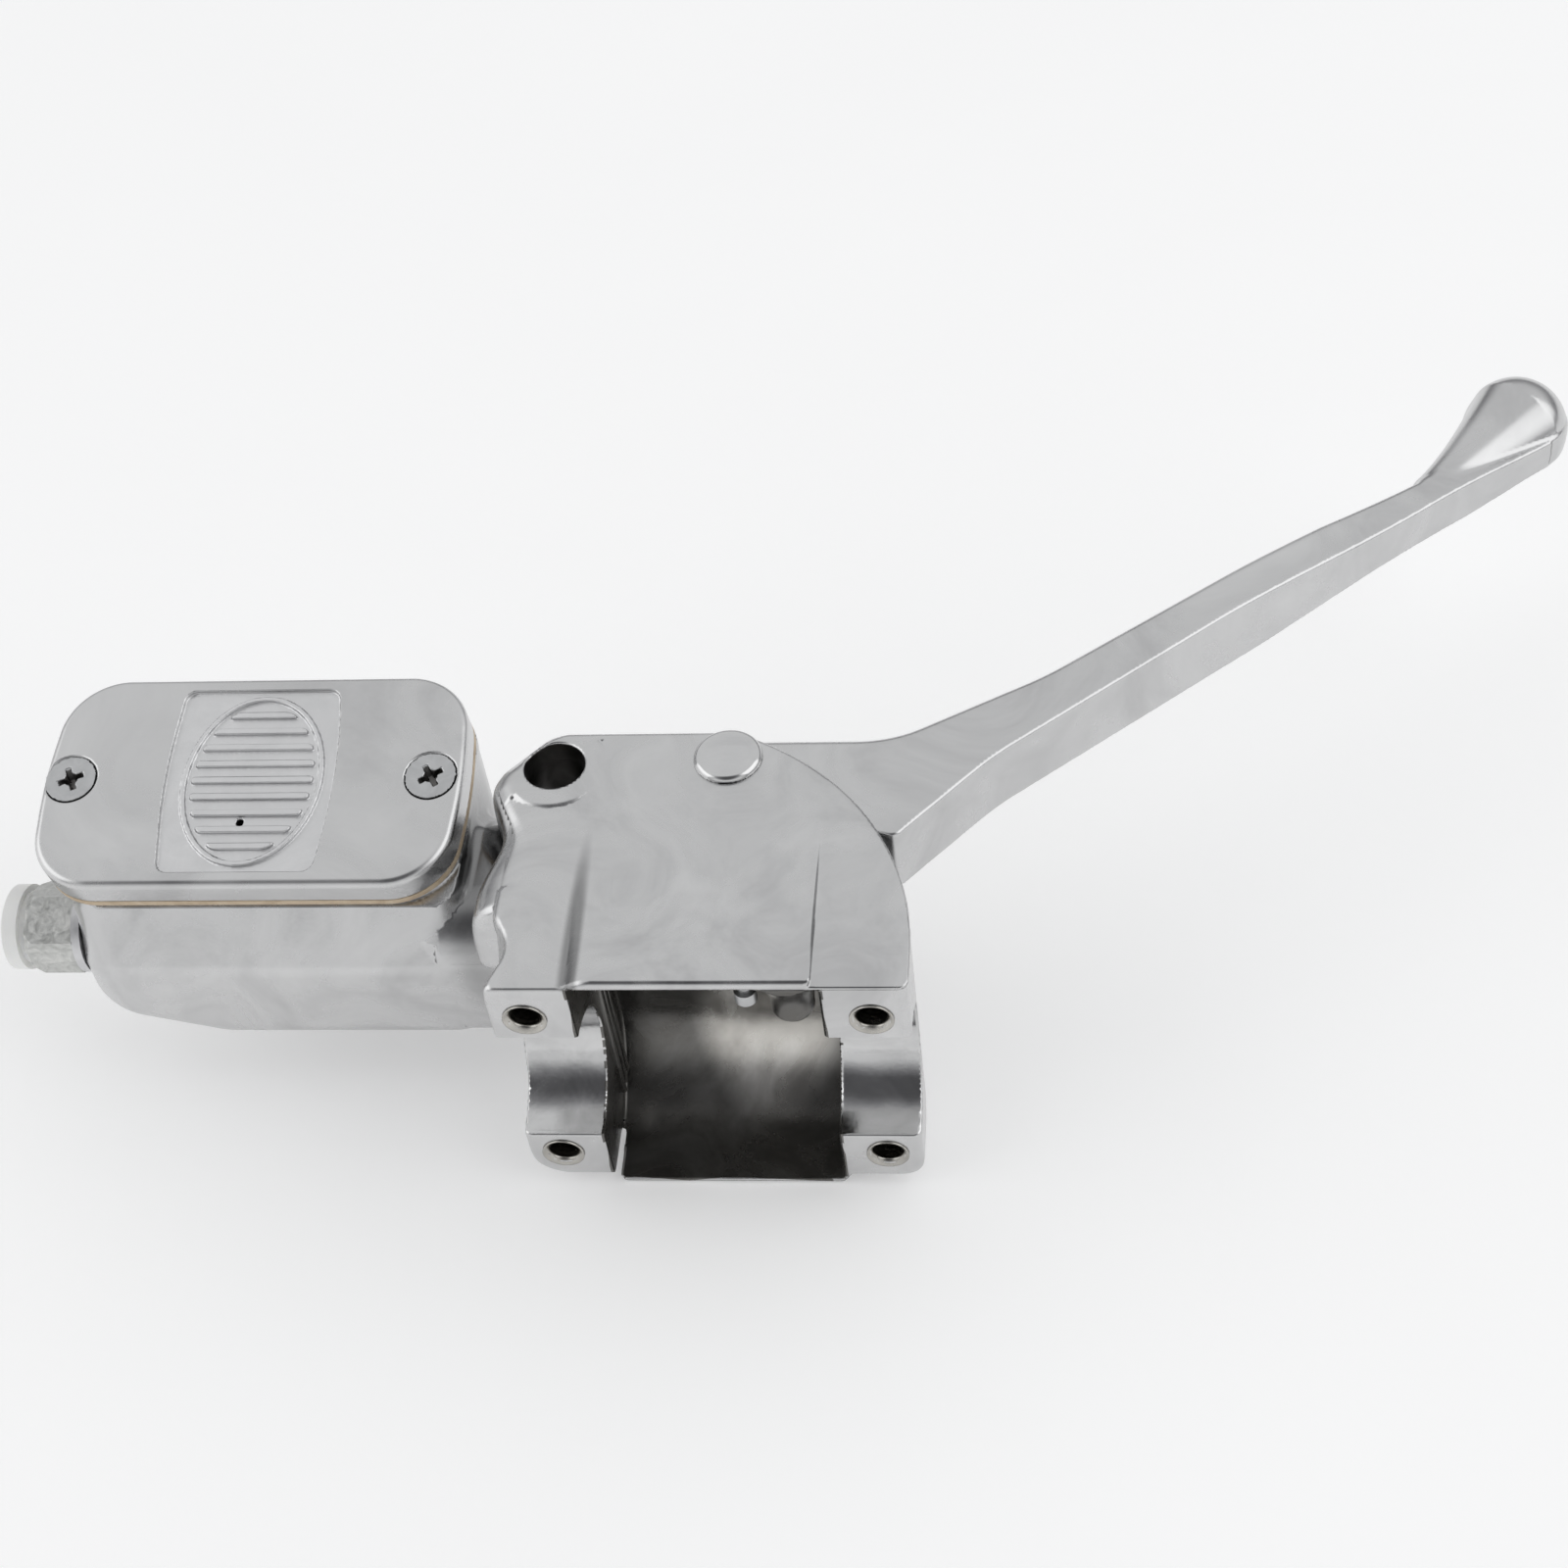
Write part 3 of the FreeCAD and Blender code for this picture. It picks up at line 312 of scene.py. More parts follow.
TANK_ACROSS = Outline([(0, -10.8, 0.5), (49.5, -10.8, 4), (58.3, -0.2, 6), (58.3, 40, 1),
                       (0, 40, 1)])
TANK_ALONG = Outline([(-101.8, -5.8, 6), (-86.2, -10.8, 10), (-45.4, -10.8, 1), (-45.4, 40, 1),
                      (-101.8, 40, 1)])
NECK = Outline([(20, 4.5, 2.5), (20, -15.3, 5), (46, -14, 8), (50, 6, 4), (42, 12.5, 4),
                (28, 12.5, 5)])


def cover_axes(y, z):
    """A point's place across the tilted cover, and its height above the cover's top."""
    dy, dz = y - COVER_CENTRE[1], z - COVER_CENTRE[2]
    cos, sin = np.cos(COVER_TILT), np.sin(COVER_TILT)
    return dy * cos + dz * sin, dz * cos - dy * sin


def ease(value):
    """Smooth step from 0 to 1."""
    value = np.clip(value, 0, 1)
    return value * value * (3 - 2 * value)


def flank_shift(x, y, z):
    """Sideways shift of the left flank: tucked in at the top, and flared towards the cylinder."""
    left = ease((-20 - x) / 7)
    tuck = 0.07 * np.maximum(z - 21, 0) ** 2 * (1 - 0.7 * ease((y - 26) / 10))
    spread = 5.0 * ease((y - 9) / 7) * (1 - 0.85 * ease((y - 20) / 14))
    flare = spread * (1 - np.exp(-np.maximum(25.8 - z, 0) / 3.0))
    return left * (flare - tuck)


def cast_clamp(x, y, z):
    """Front clamp half with the top plate and the two decks of the lever's slot."""
    shifted = x + flank_shift(x, y, z)
    plan = PLAN.distance(shifted, y)
    clamp = keep(CLAMP_SECTION.distance(y, z), CLAMP_FACE.distance(x, z), 1.4)
    clamp = keep(clamp, plan, 1.2)
    soft = ease((-24 - x) / 5)
    plate = keep(keep(plan, z - TOP, 1.05 + 2.2 * soft), UNDER - z, 1.05)
    deck = keep(DECK.distance(shifted, y), slab(z, 8.5, TOP - 0.4), 1.6 + 1.8 * soft)
    ear = keep(EAR.distance(x, y), slab(z, -9.7, -4.7), 0.8)
    return np.minimum(join(np.minimum(clamp, deck), ear, 2.0), plate)


def cast_tank(x, y, z):
    """Reservoir with its seat rim and screw bosses."""
    u = x - COVER_CENTRE[0]
    across, height = cover_axes(y, z)
    walls = keep(TANK_SECTION.distance(y, z), TANK_SIDE.distance(x, z), 4.5)
    flared = x + 0.8 * ease((z - 4) / 14) * ease((-90 - x) / 10)
    walls = keep(walls, TANK_PLAN.distance(flared, y), 4 + 5 * ease((-70 - x) / 20))
    walls = np.maximum(walls, height - SEAT + 0.6)
    for place in ((-29.8, 0.3), (29.0, 0.3)):
        boss = keep(rod(u, across, place, 3.9), slab(height, -13, SEAT - 1.8), 1.5)
        walls = join(walls, boss, 1.5)
    rim = keep(RIM.distance(u, across), slab(height, SEAT - 2.2, SEAT), 0.3)
    return join(walls, rim, 0.5)


def carve_pads(body, x, y, z):
    """Left pad and right strip, which fall away towards the rider from the raised middle."""
    fall = np.clip(1 - y / 37.0, 0, 1)
    lean = 1.5 + 3.4 * (1 - fall) ** 2
    step = (x + lean * (TOP - z) - (-16.2 - 2.1 * y / 37.5)) / np.sqrt(1 + lean ** 2)
    pad = keep((TOP - 0.3 - 1.7 * fall - z), step, 0.3)
    pad = carve(pad, np.maximum(rod(x, y, MIRROR, 8.6), MIRROR[1] - 8.7 - y), 0.2)
    pad = np.maximum(pad, y - 47.5 + np.maximum(-20 - x, 0))
    strip = keep((TOP - 1.2 * fall - z), (17.0 + 0.7 * fall - x - 0.8 * (TOP - z)) / 1.28, 0.6)
    return carve(carve(body, pad, 1.0), strip, 0.5)


def carve_holes(body, x, y, z):
    """Handlebar bore, switch cavity, tapped holes, mirror and pivot bores."""
    space = keep(CAVITY.distance(y, z), slab(x, -CAVITY_HALF, CAVITY_HALF), 0.6)
    body = carve(body, space, 0.35)
    body = carve(body, np.hypot(y, z) - BAR_RADIUS, 0.4)
    for centre in CLAMP_HOLES:
        far = rod(x, z, centre, 0)
        hole = np.maximum(far - SCREW_HOLE, slab(y, -4, CLAMP_HOLE_END))
        mouth = (far + y - SCREW_HOLE - 0.55) / 1.414
        body = carve(body, np.minimum(hole, mouth), 0.25)
    body = carve(body, np.maximum(rod(x, y, MIRROR, MIRROR_HOLE), -z), 0.4)
    return carve(body, rod(x, y, PIVOT, 4.02), 0.3)


def carve_bore(body, x, y, z):
    """Stepped cylinder bore, outlet port and fluid space."""
    across, height = cover_axes(y, z)
    body = carve(body, keep(rod(y, z, BORE, BORE_RADIUS), slab(x, BORE_BOTTOM_X, -30), 0.2), 0.3)
    body = carve(body, keep(rod(y, z, BORE, 9.6), slab(x, -34.2, -33), 0.1), 0.1)
    body = carve(body, keep(rod(y, z, BORE, PORT_RADIUS), slab(x, -110, -100), 0.2), 0.3)
    body = carve(body, np.maximum(rod(y, z, BORE, 8.2), x + 104), 0.2)
    space = keep(TANK_INSIDE.distance(x - COVER_CENTRE[0], across), slab(height, -38, 10), 2)
    corner = 2 + 3 * ease((-88 - x) / 8)
    space = keep(space, TANK_ACROSS.distance(y, z), corner)
    space = keep(space, TANK_ALONG.distance(x, z), 2)
    return carve(body, carve(space, rod(y, z, BORE, BARREL_RADIUS), 0.5), 0.4)


def casting(x, y, z):
    """The whole casting; the neck's fillets stop short of its flush rider face."""
    neck = NECK.distance(y, z)
    web = keep(np.maximum(neck, 23 - y), slab(x, -45.8, -31), 0.5)
    body = join(join(cast_clamp(x, y, z), web, 3.5), cast_tank(x, y, z), 2.0)
    cylinder = keep(rod(y, z, BORE, BARREL_RADIUS), slab(x, -45.5, -31), 1.0)
    face = keep(keep(neck, y - 30, 0.5), slab(x, -45, -31.8), 2.0)
    body = np.minimum(body, np.minimum(cylinder, face))
    scoop = ellipsoid(x, y, z, (-35.0, 7.8, 23.5), (6.2, 6.4, 8))
    body = carve(body, scoop, 1.6)
    body = carve_pads(body, x, y, z)
    body = carve_holes(body, x, y, z)
    body = carve_bore(body, x, y, z)
    trumpet = rod(x, y, (13.4, 6.2), 3.3 + 0.033 * np.clip(z - 14.5, 0, 11) ** 2) / 1.1
    trumpet = keep(np.maximum(trumpet, 0.4 - y), slab(z, 12.7, UNDER + 1), 1.2)
    return join(body, trumpet, 0.6)


# ---- lever ----------------------------------------------------------------------------------

LEVER_MID = 18.0
FLARE, BALL = (117.9, 111.2), (134.0, 129.0)
SPINE_X, SPINE_Y = 16.1, 17.8  # from the flare's start to the ball's middle
SPINE_SQUARED = 576.05
NECK_RADIUS, BALL_GROWTH, BALL_DISC = 4.0, 5.1, 8.85
LEVER_PLAN = Outline([(1.6, 37.1, 3), (12, 34.5, 8), (28.2, 29.6, 2), (43, 46, 50),
                      (80, 76, 200), (118.9, 106.4, 150), (139.4, 121.6, 0), (134, 129, 0),
                      (125.4, 128.6, 0), (120.2, 115.2, 14), (97, 99.3, 60), (50.5, 64, 60),
                      (26.5, 50.3, 20), (1.6, 50.3, 3)])


def lever(x, y, z):
    """Forged lever: hub, web, dished blade, flared ball, and the push-rod pin's two cheeks."""
    along = np.clip((x - 80) / 34, 0, 1)
    half = 6.3 - 2.1 * along * along * (3 - 2 * along)
    across = 0.77 * y - 0.64 * x - 14 + 0.05 * (x - 26)
    half = half - 0.35 * np.exp(-(across / 2.6) ** 2) * ease((x - 34) / 14)
    edge = 0.6 + 1.4 * ease(across / 4 + 0.5)
    run = (x - FLARE[0]) * SPINE_X + (y - FLARE[1]) * SPINE_Y
    place = np.clip(run / SPINE_SQUARED, 0, 1)
    off_x, off_y = x - FLARE[0] - SPINE_X * place, y - FLARE[1] - SPINE_Y * place
    thick = NECK_RADIUS + BALL_GROWTH * place ** 1.5
    ball = (np.sqrt(off_x ** 2 + off_y ** 2 + (z - LEVER_MID) ** 2) - thick) / 1.05
    plan = np.minimum(LEVER_PLAN.distance(x, y), rod(x, y, BALL, BALL_DISC))
    blade = keep(plan, np.abs(z - LEVER_MID) - half + 1.2 * ease(place), edge)
    hub = keep(rod(x, y, PIVOT, 6.6), slab(z, -4.2, LEVER_MID + 6.3), 0.4)
    cheeks = np.maximum(rod(x, y, (PIVOT[0], BORE[0]), 5.0),
                        np.minimum(slab(z, -3.9, -1.9), slab(z, 5.9, 7.9)))
    body = join(join(blade, ball, 0.6), hub, 1.0)
    return carve(join(body, cheeks, 0.5), rod(x, y, PIVOT, 5.2), 0.1)


# ---- cover and screws -----------------------------------------------------------------------

COVER_EDGE = Outline([(-33, -19.1, 10.5), (33, -19.1, 10.5), (34.6, 0, 90), (33, 19.1, 10.5),
                      (-33, 19.1, 10.5), (-34.6, 0, 90)])
COVER_HOLLOW = Outline([(-23.5, -14.5, 5), (23.5, -14.5, 5), (23.5, 14.5, 5), (-23.5, 14.5, 5)])
PANEL = Outline([(-12.6, -16.6, 2), (12.2, -16.6, 2), (14.2, 0, 100), (11.9, 16.6, 2),
                 (-13.6, 16.6, 2), (-14.6, 0, 100)])
PANEL_FLOOR = -0.7
SCREWS = ((-29.8, 0.3, 0.42), (29.0, 0.3, 0.55))
VENT = (-0.8, -7.5)
SINK, SINK_SLOPE = 0.9, 1.345


def oval(u, v, half_u, half_v):
    """Distance from an oval, exact on its edge and close to it nearby."""
    near = np.hypot(u / half_u, v / half_v)
    slope = np.hypot(u / half_u ** 2, v / half_v ** 2)
    return near * (near - 1) / np.maximum(slope, 1e-6)


def ornament(u, v, height):
    """Plain ribs inside an oval ring, raised from the panel's floor."""
    ribs = np.abs(v - 3.0 * np.clip(np.round(v / 3.0), -4, 4)) - 0.62
    ribs = keep(ribs, oval(u, v, 9.9, 14.0), 0.5)
    ring = np.abs(oval(u, v, 11.1, 15.1)) - 0.42
    raised = keep(np.minimum(ribs, ring), height + 0.12, 0.2)
    return np.maximum(raised, PANEL_FLOOR - 0.5 - height)


def cover(x, y, z):
    """Reservoir cover with its sunk panel, ornament, screw seats and vent."""
    u = x - COVER_CENTRE[0]
    v, height = cover_axes(y, z)
    body = keep(COVER_EDGE.distance(u, v), height, 1.3)
    body = keep(body, -5.3 - height, 0.3)
    body = carve(body, keep(PANEL.distance(u, v), PANEL_FLOOR - height, 0.25), 0.2)
    body = join(body, ornament(u, v, height), 0.2)
    body = carve(body, np.maximum(COVER_HOLLOW.distance(u, v), height + 2.8), 0.4)
    body = carve(body, rod(u, v, VENT, 0.6), 0.15)
    for side_u, side_v, _ in SCREWS:
        far = np.hypot(u - side_u, v - side_v)
        seat = (far - 4.42 - SINK * height) / SINK_SLOPE
        body = carve(body, np.minimum(np.maximum(seat, -2.6 - height), far - 2.3), 0.12)
    return body


def cover_screws(x, y, z):
    """Two flat-head screws with cross recesses."""
    u = x - COVER_CENTRE[0]
    v, height = cover_axes(y, z)
    best = 1e3
    for side_u, side_v, turn in SCREWS:
        du, dv = u - side_u, v - side_v
        a = np.abs(du * np.cos(turn) + dv * np.sin(turn))
        b = np.abs(dv * np.cos(turn) - du * np.sin(turn))
        far = np.hypot(du, dv)
        cone = (far - 4.2 - SINK * height) / SINK_SLOPE
        head = keep(cone, np.maximum(height, far - 4.2), 0.12)
        screw = np.minimum(np.maximum(head, -2.45 - height),
                           np.maximum(far - 2.0, slab(height, -11.5, -2)))
        reach = 2.15 + 0.6 * height
        arms = np.minimum(np.maximum(a - reach, b - 0.46), np.maximum(b - reach, a - 0.46))
        recess = np.maximum(np.minimum(arms, far - 1.15 - 0.35 * height), -1.9 - height)
        best = np.minimum(best, carve(screw, recess, 0.1))
    return best


# ---- pivot pin ------------------------------------------------------------------------------

def pivot_pin(x, y, z):
    """Headed pin: a low dome on the top plate, a plain shaft and a groove for its circlip."""
    far = np.hypot(x - PIVOT[0], y - PIVOT[1])
    dome = np.sqrt(far ** 2 + (z - (TOP + 1.5 - 30)) ** 2) - 30
    head = keep(keep(dome, far - 5.45, 0.9), TOP + 0.05 - z, 0.05)
    shaft = keep(far - 3.97, slab(z, -13, TOP + 0.3), 0.3)
    shaft = carve(shaft, np.maximum(3.2 - far, slab(z, -11.4, -10.4)), 0.05)
    return np.minimum(head, shaft)


# ---- materials ------------------------------------------------------------------------------

def add(tree, kind, settings=None, **inputs):
    """One shader node; an input is a socket to link or a plain value."""
    made = tree.nodes.new("ShaderNode" + kind)
    for key, value in (settings or {}).items():
        setattr(made, key, value)
    for key, value in inputs.items():
        socket = made.inputs[key.replace("_", " ")]
        if isinstance(value, bpy.types.NodeSocket):
            tree.links.new(value, socket)
        else:
            socket.default_value = value
    return made.outputs[0]


def ramp(tree, share, tones):
    """Colour ramp over evenly spaced tones."""
    colour = add(tree, "ValToRGB", Fac=share)
    band = colour.node.color_ramp
    for index, tone in enumerate(tones):
        place = index / (len(tones) - 1)
        stop = band.elements[index] if index < 2 else band.elements.new(place)
        stop.position, stop.color = place, (*tone, 1)
    return colour


def noise(tree, place, scale, detail=3.0, rough=0.55, stretch=(1, 1, 1)):
    """Noise of one scale, in waves to the metre, and stretched if asked."""
    if stretch != (1, 1, 1):
        place = add(tree, "Mapping", Vector=place, Scale=stretch)
    return add(tree, "TexNoise", Vector=place, Scale=scale, Detail=detail, Roughness=rough)


def finish(name, tones, rough, smudge=40.0, grain=900.0, wave=0.0, pits=0.0,
           stretch=(1, 1, 1), painted_light_patches=(), **shader_values):
    """A material: tones and roughness drift with smudges, and grain and waves bend the normal.

    tones runs from the darkest to the lightest; rough is (lowest, highest); wave and pits are the
    heights in metres of the soft waves and of the fine grain; a painted light patch is an
    ellipsoid's middle and radii in metres, and what the colour is multiplied by outside and
    inside it, which paints shade or a reflection into the colour.
    """
    material = bpy.data.materials.new(name)
    material.use_nodes = True
    tree = material.node_tree
    shader = tree.nodes["Principled BSDF"]
    for key, value in shader_values.items():
        shader.inputs[key.replace("_", " ")].default_value = value
    place = add(tree, "TexCoord").node.outputs["Object"]
    broad = noise(tree, place, smudge, 5.0, 0.6)
    broad.node.inputs["Distortion"].default_value = 1.4
    fine = noise(tree, place, grain, 3.0, 0.5, stretch)
    mixed = add(tree, "Math", {"operation": "MULTIPLY_ADD"})
    tree.links.new(fine, mixed.node.inputs[0])
    mixed.node.inputs[1].default_value = 0.1
    tree.links.new(add(tree, "MapRange", Value=broad, From_Min=0.25, From_Max=0.75, To_Max=0.9),
                   mixed.node.inputs[2])
    colour = ramp(tree, mixed, tones)
    # Each patch paints shade or a reflection by scaling the colour inside an ellipsoid.
    for middle, radii, outside, inside in painted_light_patches:
        reach = add(tree, "Mapping", {"vector_type": "TEXTURE"}, Vector=place, Location=middle,
                    Scale=radii)
        reach = add(tree, "VectorMath", {"operation": "LENGTH"}, Vector=reach).node
        share = add(tree, "MapRange", {"interpolation_type": "SMOOTHSTEP"},
                    Value=reach.outputs["Value"], From_Min=0.55, From_Max=1.05, To_Min=inside,
                    To_Max=outside)
        colour = add(tree, "VectorMath", {"operation": "SCALE"}, Vector=colour, Scale=share)
    tree.links.new(colour, shader.inputs["Base Color"])
    tree.links.new(add(tree, "MapRange", Value=mixed, From_Min=0.15, From_Max=0.85,
                       To_Min=rough[0], To_Max=rough[1]), shader.inputs["Roughness"])
    bent = add(tree, "Bump", Height=fine, Distance=pits, Strength=1.0)
    if wave:
        slow = noise(tree, place, smudge * 1.7, 1.0, 0.4)
        bent = add(tree, "Bump", Height=slow, Distance=wave, Strength=1.0, Normal=bent)
    tree.links.new(bent, shader.inputs["Normal"])
    return material


CHROME = [(0.49, 0.49, 0.493), (0.60, 0.60, 0.602), (0.68, 0.68, 0.68)]
# The casting's colour carries two painted shade patches. They darken the valley between the
# reservoir and the deck, and the step face at the edge of the left pad, in place of dark
# reflections.
CAST_PAINTED_SHADE = finish("polished_casting_painted_shade", CHROME, (0.17, 0.34), 55, 1400, 0.0002, 0.000006,
              painted_light_patches=(((-0.0385, 0.037, 0.004), (0.0085, 0.022, 0.023), 1, 0.42),
                       ((-0.0184, 0.001, 0.0257), (0.0021, 0.032, 0.0017), 1, 0.5)), Metallic=1)
SADDLE = finish("polished_saddle", [(0.5, 0.5, 0.5), (0.7, 0.7, 0.7)], (0.08, 0.2), 90, 1400,
                0.0002, 0.00001, Metallic=1)
# Switch cavity colour: painted shade, darker than the casting's chrome, with a painted reflection
# as a brighter spot low in the cavity.
RECESS_PAINTED_SHADE = finish("recess_painted_shade_and_reflection", [(0.22, 0.21, 0.195), (0.34, 0.33, 0.31),
                                       (0.50, 0.49, 0.475)], (0.2, 0.36), 60, 900, 0.0003,
                0.000012, painted_light_patches=(((0.006, 0.02, -0.011), (0.013, 0.03, 0.015), 0.45, 2.0),),
                Metallic=0.85)
HOLE = finish("shaded_bore", [(0.10, 0.095, 0.09), (0.22, 0.215, 0.21)], (0.3, 0.45), 200, 1500,
              0.0, 0.00001, Metallic=1)
THREAD = finish("cut_thread", [(0.34, 0.33, 0.31), (0.58, 0.56, 0.52)], (0.15, 0.3), 200, 1500,
                0.0, 0.00001, Metallic=1)
COVER = finish("polished_cover", CHROME, (0.2, 0.34), 30, 1600, 0.0001, 0.000006, Metallic=1)
PANEL_HAZE = finish("cast_panel", [(0.62, 0.62, 0.625), (0.74, 0.74, 0.745)], (0.3, 0.42), 90,
                    1500, 0.0001, 0.00004, Metallic=1)
FORGED = finish("polished_forging", CHROME, (0.19, 0.33), 35, 700, 0.0002, 0.000008,
                (0.25, 1, 1), Metallic=1)
PIN = finish("polished_pin", CHROME, (0.08, 0.2), 60, 1500, 0.0001, 0.000004, Metallic=1)
SCREW = finish("plated_screw", [(0.44, 0.445, 0.45), (0.58, 0.585, 0.59)], (0.28, 0.42), 250,
               2500, 0.00002, 0.00001, Metallic=1)
ZINC = finish("mottled_zinc", [(0.34, 0.345, 0.33), (0.55, 0.555, 0.54), (0.74, 0.74, 0.72)],
              (0.3, 0.5), 420, 1300, 0.00006, 0.00004, Metallic=0.9)
STEEL = finish("phosphated_steel", [(0.28, 0.285, 0.29), (0.46, 0.465, 0.48)], (0.3, 0.5), 200,
               1800, 0.0, 0.00001, Metallic=1)
ANODISED = finish("anodised_piston", [(0.5, 0.48, 0.4), (0.62, 0.6, 0.5)], (0.25, 0.4), 150,
                  1500, 0.0, 0.00001, Metallic=1)
BRONZE = finish("sintered_bronze", [(0.5, 0.33, 0.16), (0.68, 0.48, 0.26)], (0.3, 0.5), 300,
                2200, 0.0, 0.00002, Metallic=1)
SOFT = finish("soft_aluminium", [(0.55, 0.55, 0.56), (0.72, 0.72, 0.73)], (0.3, 0.5), 220, 1500,
              0.0, 0.00001, Metallic=1)
RUBBER = finish("black_rubber", [(0.018, 0.018, 0.018), (0.045, 0.045, 0.045)], (0.5, 0.7), 150,
                1800, 0.0, 0.00003, Metallic=0)
GASKET = finish("tan_gasket", [(0.42, 0.32, 0.21), (0.6, 0.48, 0.34), (0.7, 0.6, 0.46)],
                (0.65, 0.85), 180, 2600, 0.0, 0.00004, Metallic=0)
CAP = finish("natural_plastic", [(0.84, 0.845, 0.83), (0.92, 0.92, 0.905)], (0.32, 0.45), 120,
             900, 0.00005, 0.00001, Metallic=0, Subsurface_Weight=0.3,
             Subsurface_Radius=(0.004, 0.004, 0.0035))

CARRIED = {
    "cover_gasket": GASKET, "reservoir_diaphragm": RUBBER, "lever_bush": BRONZE,
    "push_rod_pin": PIN, "pivot_circlip": STEEL, "thrust_washer": BRONZE,
    "piston": ANODISED, "push_rod": STEEL, "dust_boot": RUBBER, "primary_cup": RUBBER,
    "secondary_cup": RUBBER, "spring_seat": STEEL, "cup_spacer": ANODISED,
    "retaining_washer": STEEL, "snap_ring": STEEL, "crush_washer": SOFT,
    "outlet_fitting": ZINC, "thread_cap": CAP, "switch_screw": SCREW,
}
for node_name, material in CARRIED.items():
    for held in NODES[node_name].material_slots:
        held.material = material


# ---- pieces ---------------------------------------------------------------------------------

def place_piece(piece, material, node, body):
    """Gives a piece its material, and puts it on its body in place of its CAD node."""
    piece.data.materials.append(material)
    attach(piece, body)
    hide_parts(node)
    return piece


def centres(piece):
    """Middles of a piece's faces, in millimetres."""
    middles = np.empty(len(piece.data.polygons) * 3)
    piece.data.polygons.foreach_get("center", middles)
    return middles.reshape(-1, 3).T / MM


def paint(piece, material, chosen):
    """Gives the chosen faces another material."""
    piece.data.materials.append(material)
    indices = np.zeros(len(chosen), int)
    piece.data.polygons.foreach_get("material_index", indices)
    indices[chosen] = len(piece.data.materials) - 1
    piece.data.polygons.foreach_set("material_index", indices)


PAINT_REACH = 0.1
DECK_HOLE_LOW = 9
RECESS_RADIUS, RECESS_LOW, RECESS_HIGH = 2.6, -2.2, -0.3

housing = place_piece(mesh_piece("cast_housing", casting, (-110.5, -2, -29), (34, 66, 30),
                                 0.55, 0.45), CAST_PAINTED_SHADE, "master_cylinder_body", "housing")
mid_x, mid_y, mid_z = centres(housing)
walls = slab(mid_x, -CAVITY_HALF, CAVITY_HALF)
# Faces inside the switch cavity, which get painted shade with a painted reflection.
inside = keep(CAVITY.distance(mid_y, mid_z), walls, 0.5) < 0.35
saddle = (np.hypot(mid_y, mid_z) < BAR_RADIUS + 0.15) & (mid_y > 0.15)
paint(housing, RECESS_PAINTED_SHADE, inside)
paint(housing, SADDLE, saddle & ~inside)
bored = slab(mid_z, DECK_HOLE_LOW, TOP - 0.5) < 0
bored &= rod(mid_x, mid_y, MIRROR, MIRROR_HOLE) < PAINT_REACH
for hole in CLAMP_HOLES:
    near = rod(mid_x, mid_z, hole, SCREW_HOLE) < PAINT_REACH
    bored |= near & (slab(mid_y, 0.8, CLAMP_HOLE_END + 0.5) < 0)
paint(housing, HOLE, bored)
place_piece(mesh_piece("forged_lever", lever, (-6, 24, -6), (145, 140, 29), 0.6, 0.5),
            FORGED, "brake_lever", "lever")
screws = place_piece(mesh_piece("screw_pair", cover_screws, (-111, 33, 4), (-39, 50, 28),
                                0.22, 0.4), SCREW, "cover_screws", "housing")
mid_x, mid_y, mid_z = centres(screws)
across, height = cover_axes(mid_y, mid_z)
sunk = np.zeros(len(height), bool)
for side_u, side_v, _ in SCREWS:
    near = np.hypot(mid_x - COVER_CENTRE[0] - side_u, across - side_v)
    sunk |= (near < RECESS_RADIUS) & (height < RECESS_HIGH) & (height > RECESS_LOW)
paint(screws, HOLE, sunk)
place_piece(mesh_piece("headed_pin", pivot_pin, (-5, 37, -14), (8, 50, 29), 0.25, 0.4),
            PIN, "pivot_pin", "housing")


def lathe(name, profile, centres_xz, turns=40):
    """One mesh of closed rings, each turned round an axis along Y from (radius, y) points."""
    angles = np.arange(turns) * 2 * np.pi / turns
    points, faces = [], []
    count = len(profile)
    for centre_x, centre_z in centres_xz:
        first = len(points)
        for angle in angles:
            points += [((centre_x + r * np.cos(angle)) * MM, y * MM,
                        (centre_z + r * np.sin(angle)) * MM) for r, y in profile]
        for i in range(turns):
            for j in range(count):
                ahead, over = (i + 1) % turns * count, (j + 1) % count
                faces.append([first + n for n in (i * count + j, ahead + j, ahead + over,
                                                  i * count + over)])
    return swept(name, points, faces)


THREAD_PITCH, THREAD_TURNS = 0.8, 9


def thread_profile():
    """Countersunk mouth, then a zigzag of thread crests and roots, then the outside."""
    inner = [(3.35, 0.12), (3.15, 0.14), (2.62, 0.66)]
    for turn in range(THREAD_TURNS):
        rise = THREAD_PITCH * turn
        inner += [(2.22, 0.95 + rise), (2.3, 1.1 + rise), (2.6, 1.4 + rise)]
    return inner + [(2.3, 8.4), (3.0, 8.4), (3.0, 0.9)]


def fixed(piece, material):
    """A piece of the housing with no CAD node of its own."""
    piece.data.materials.append(material)
    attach(piece, "housing")


fixed(lathe("tapped_threads", thread_profile(),
            [(i * SCREW_X, k * SCREW_Z) for i in (-1, 1) for k in (-1, 1)]),
      THREAD)


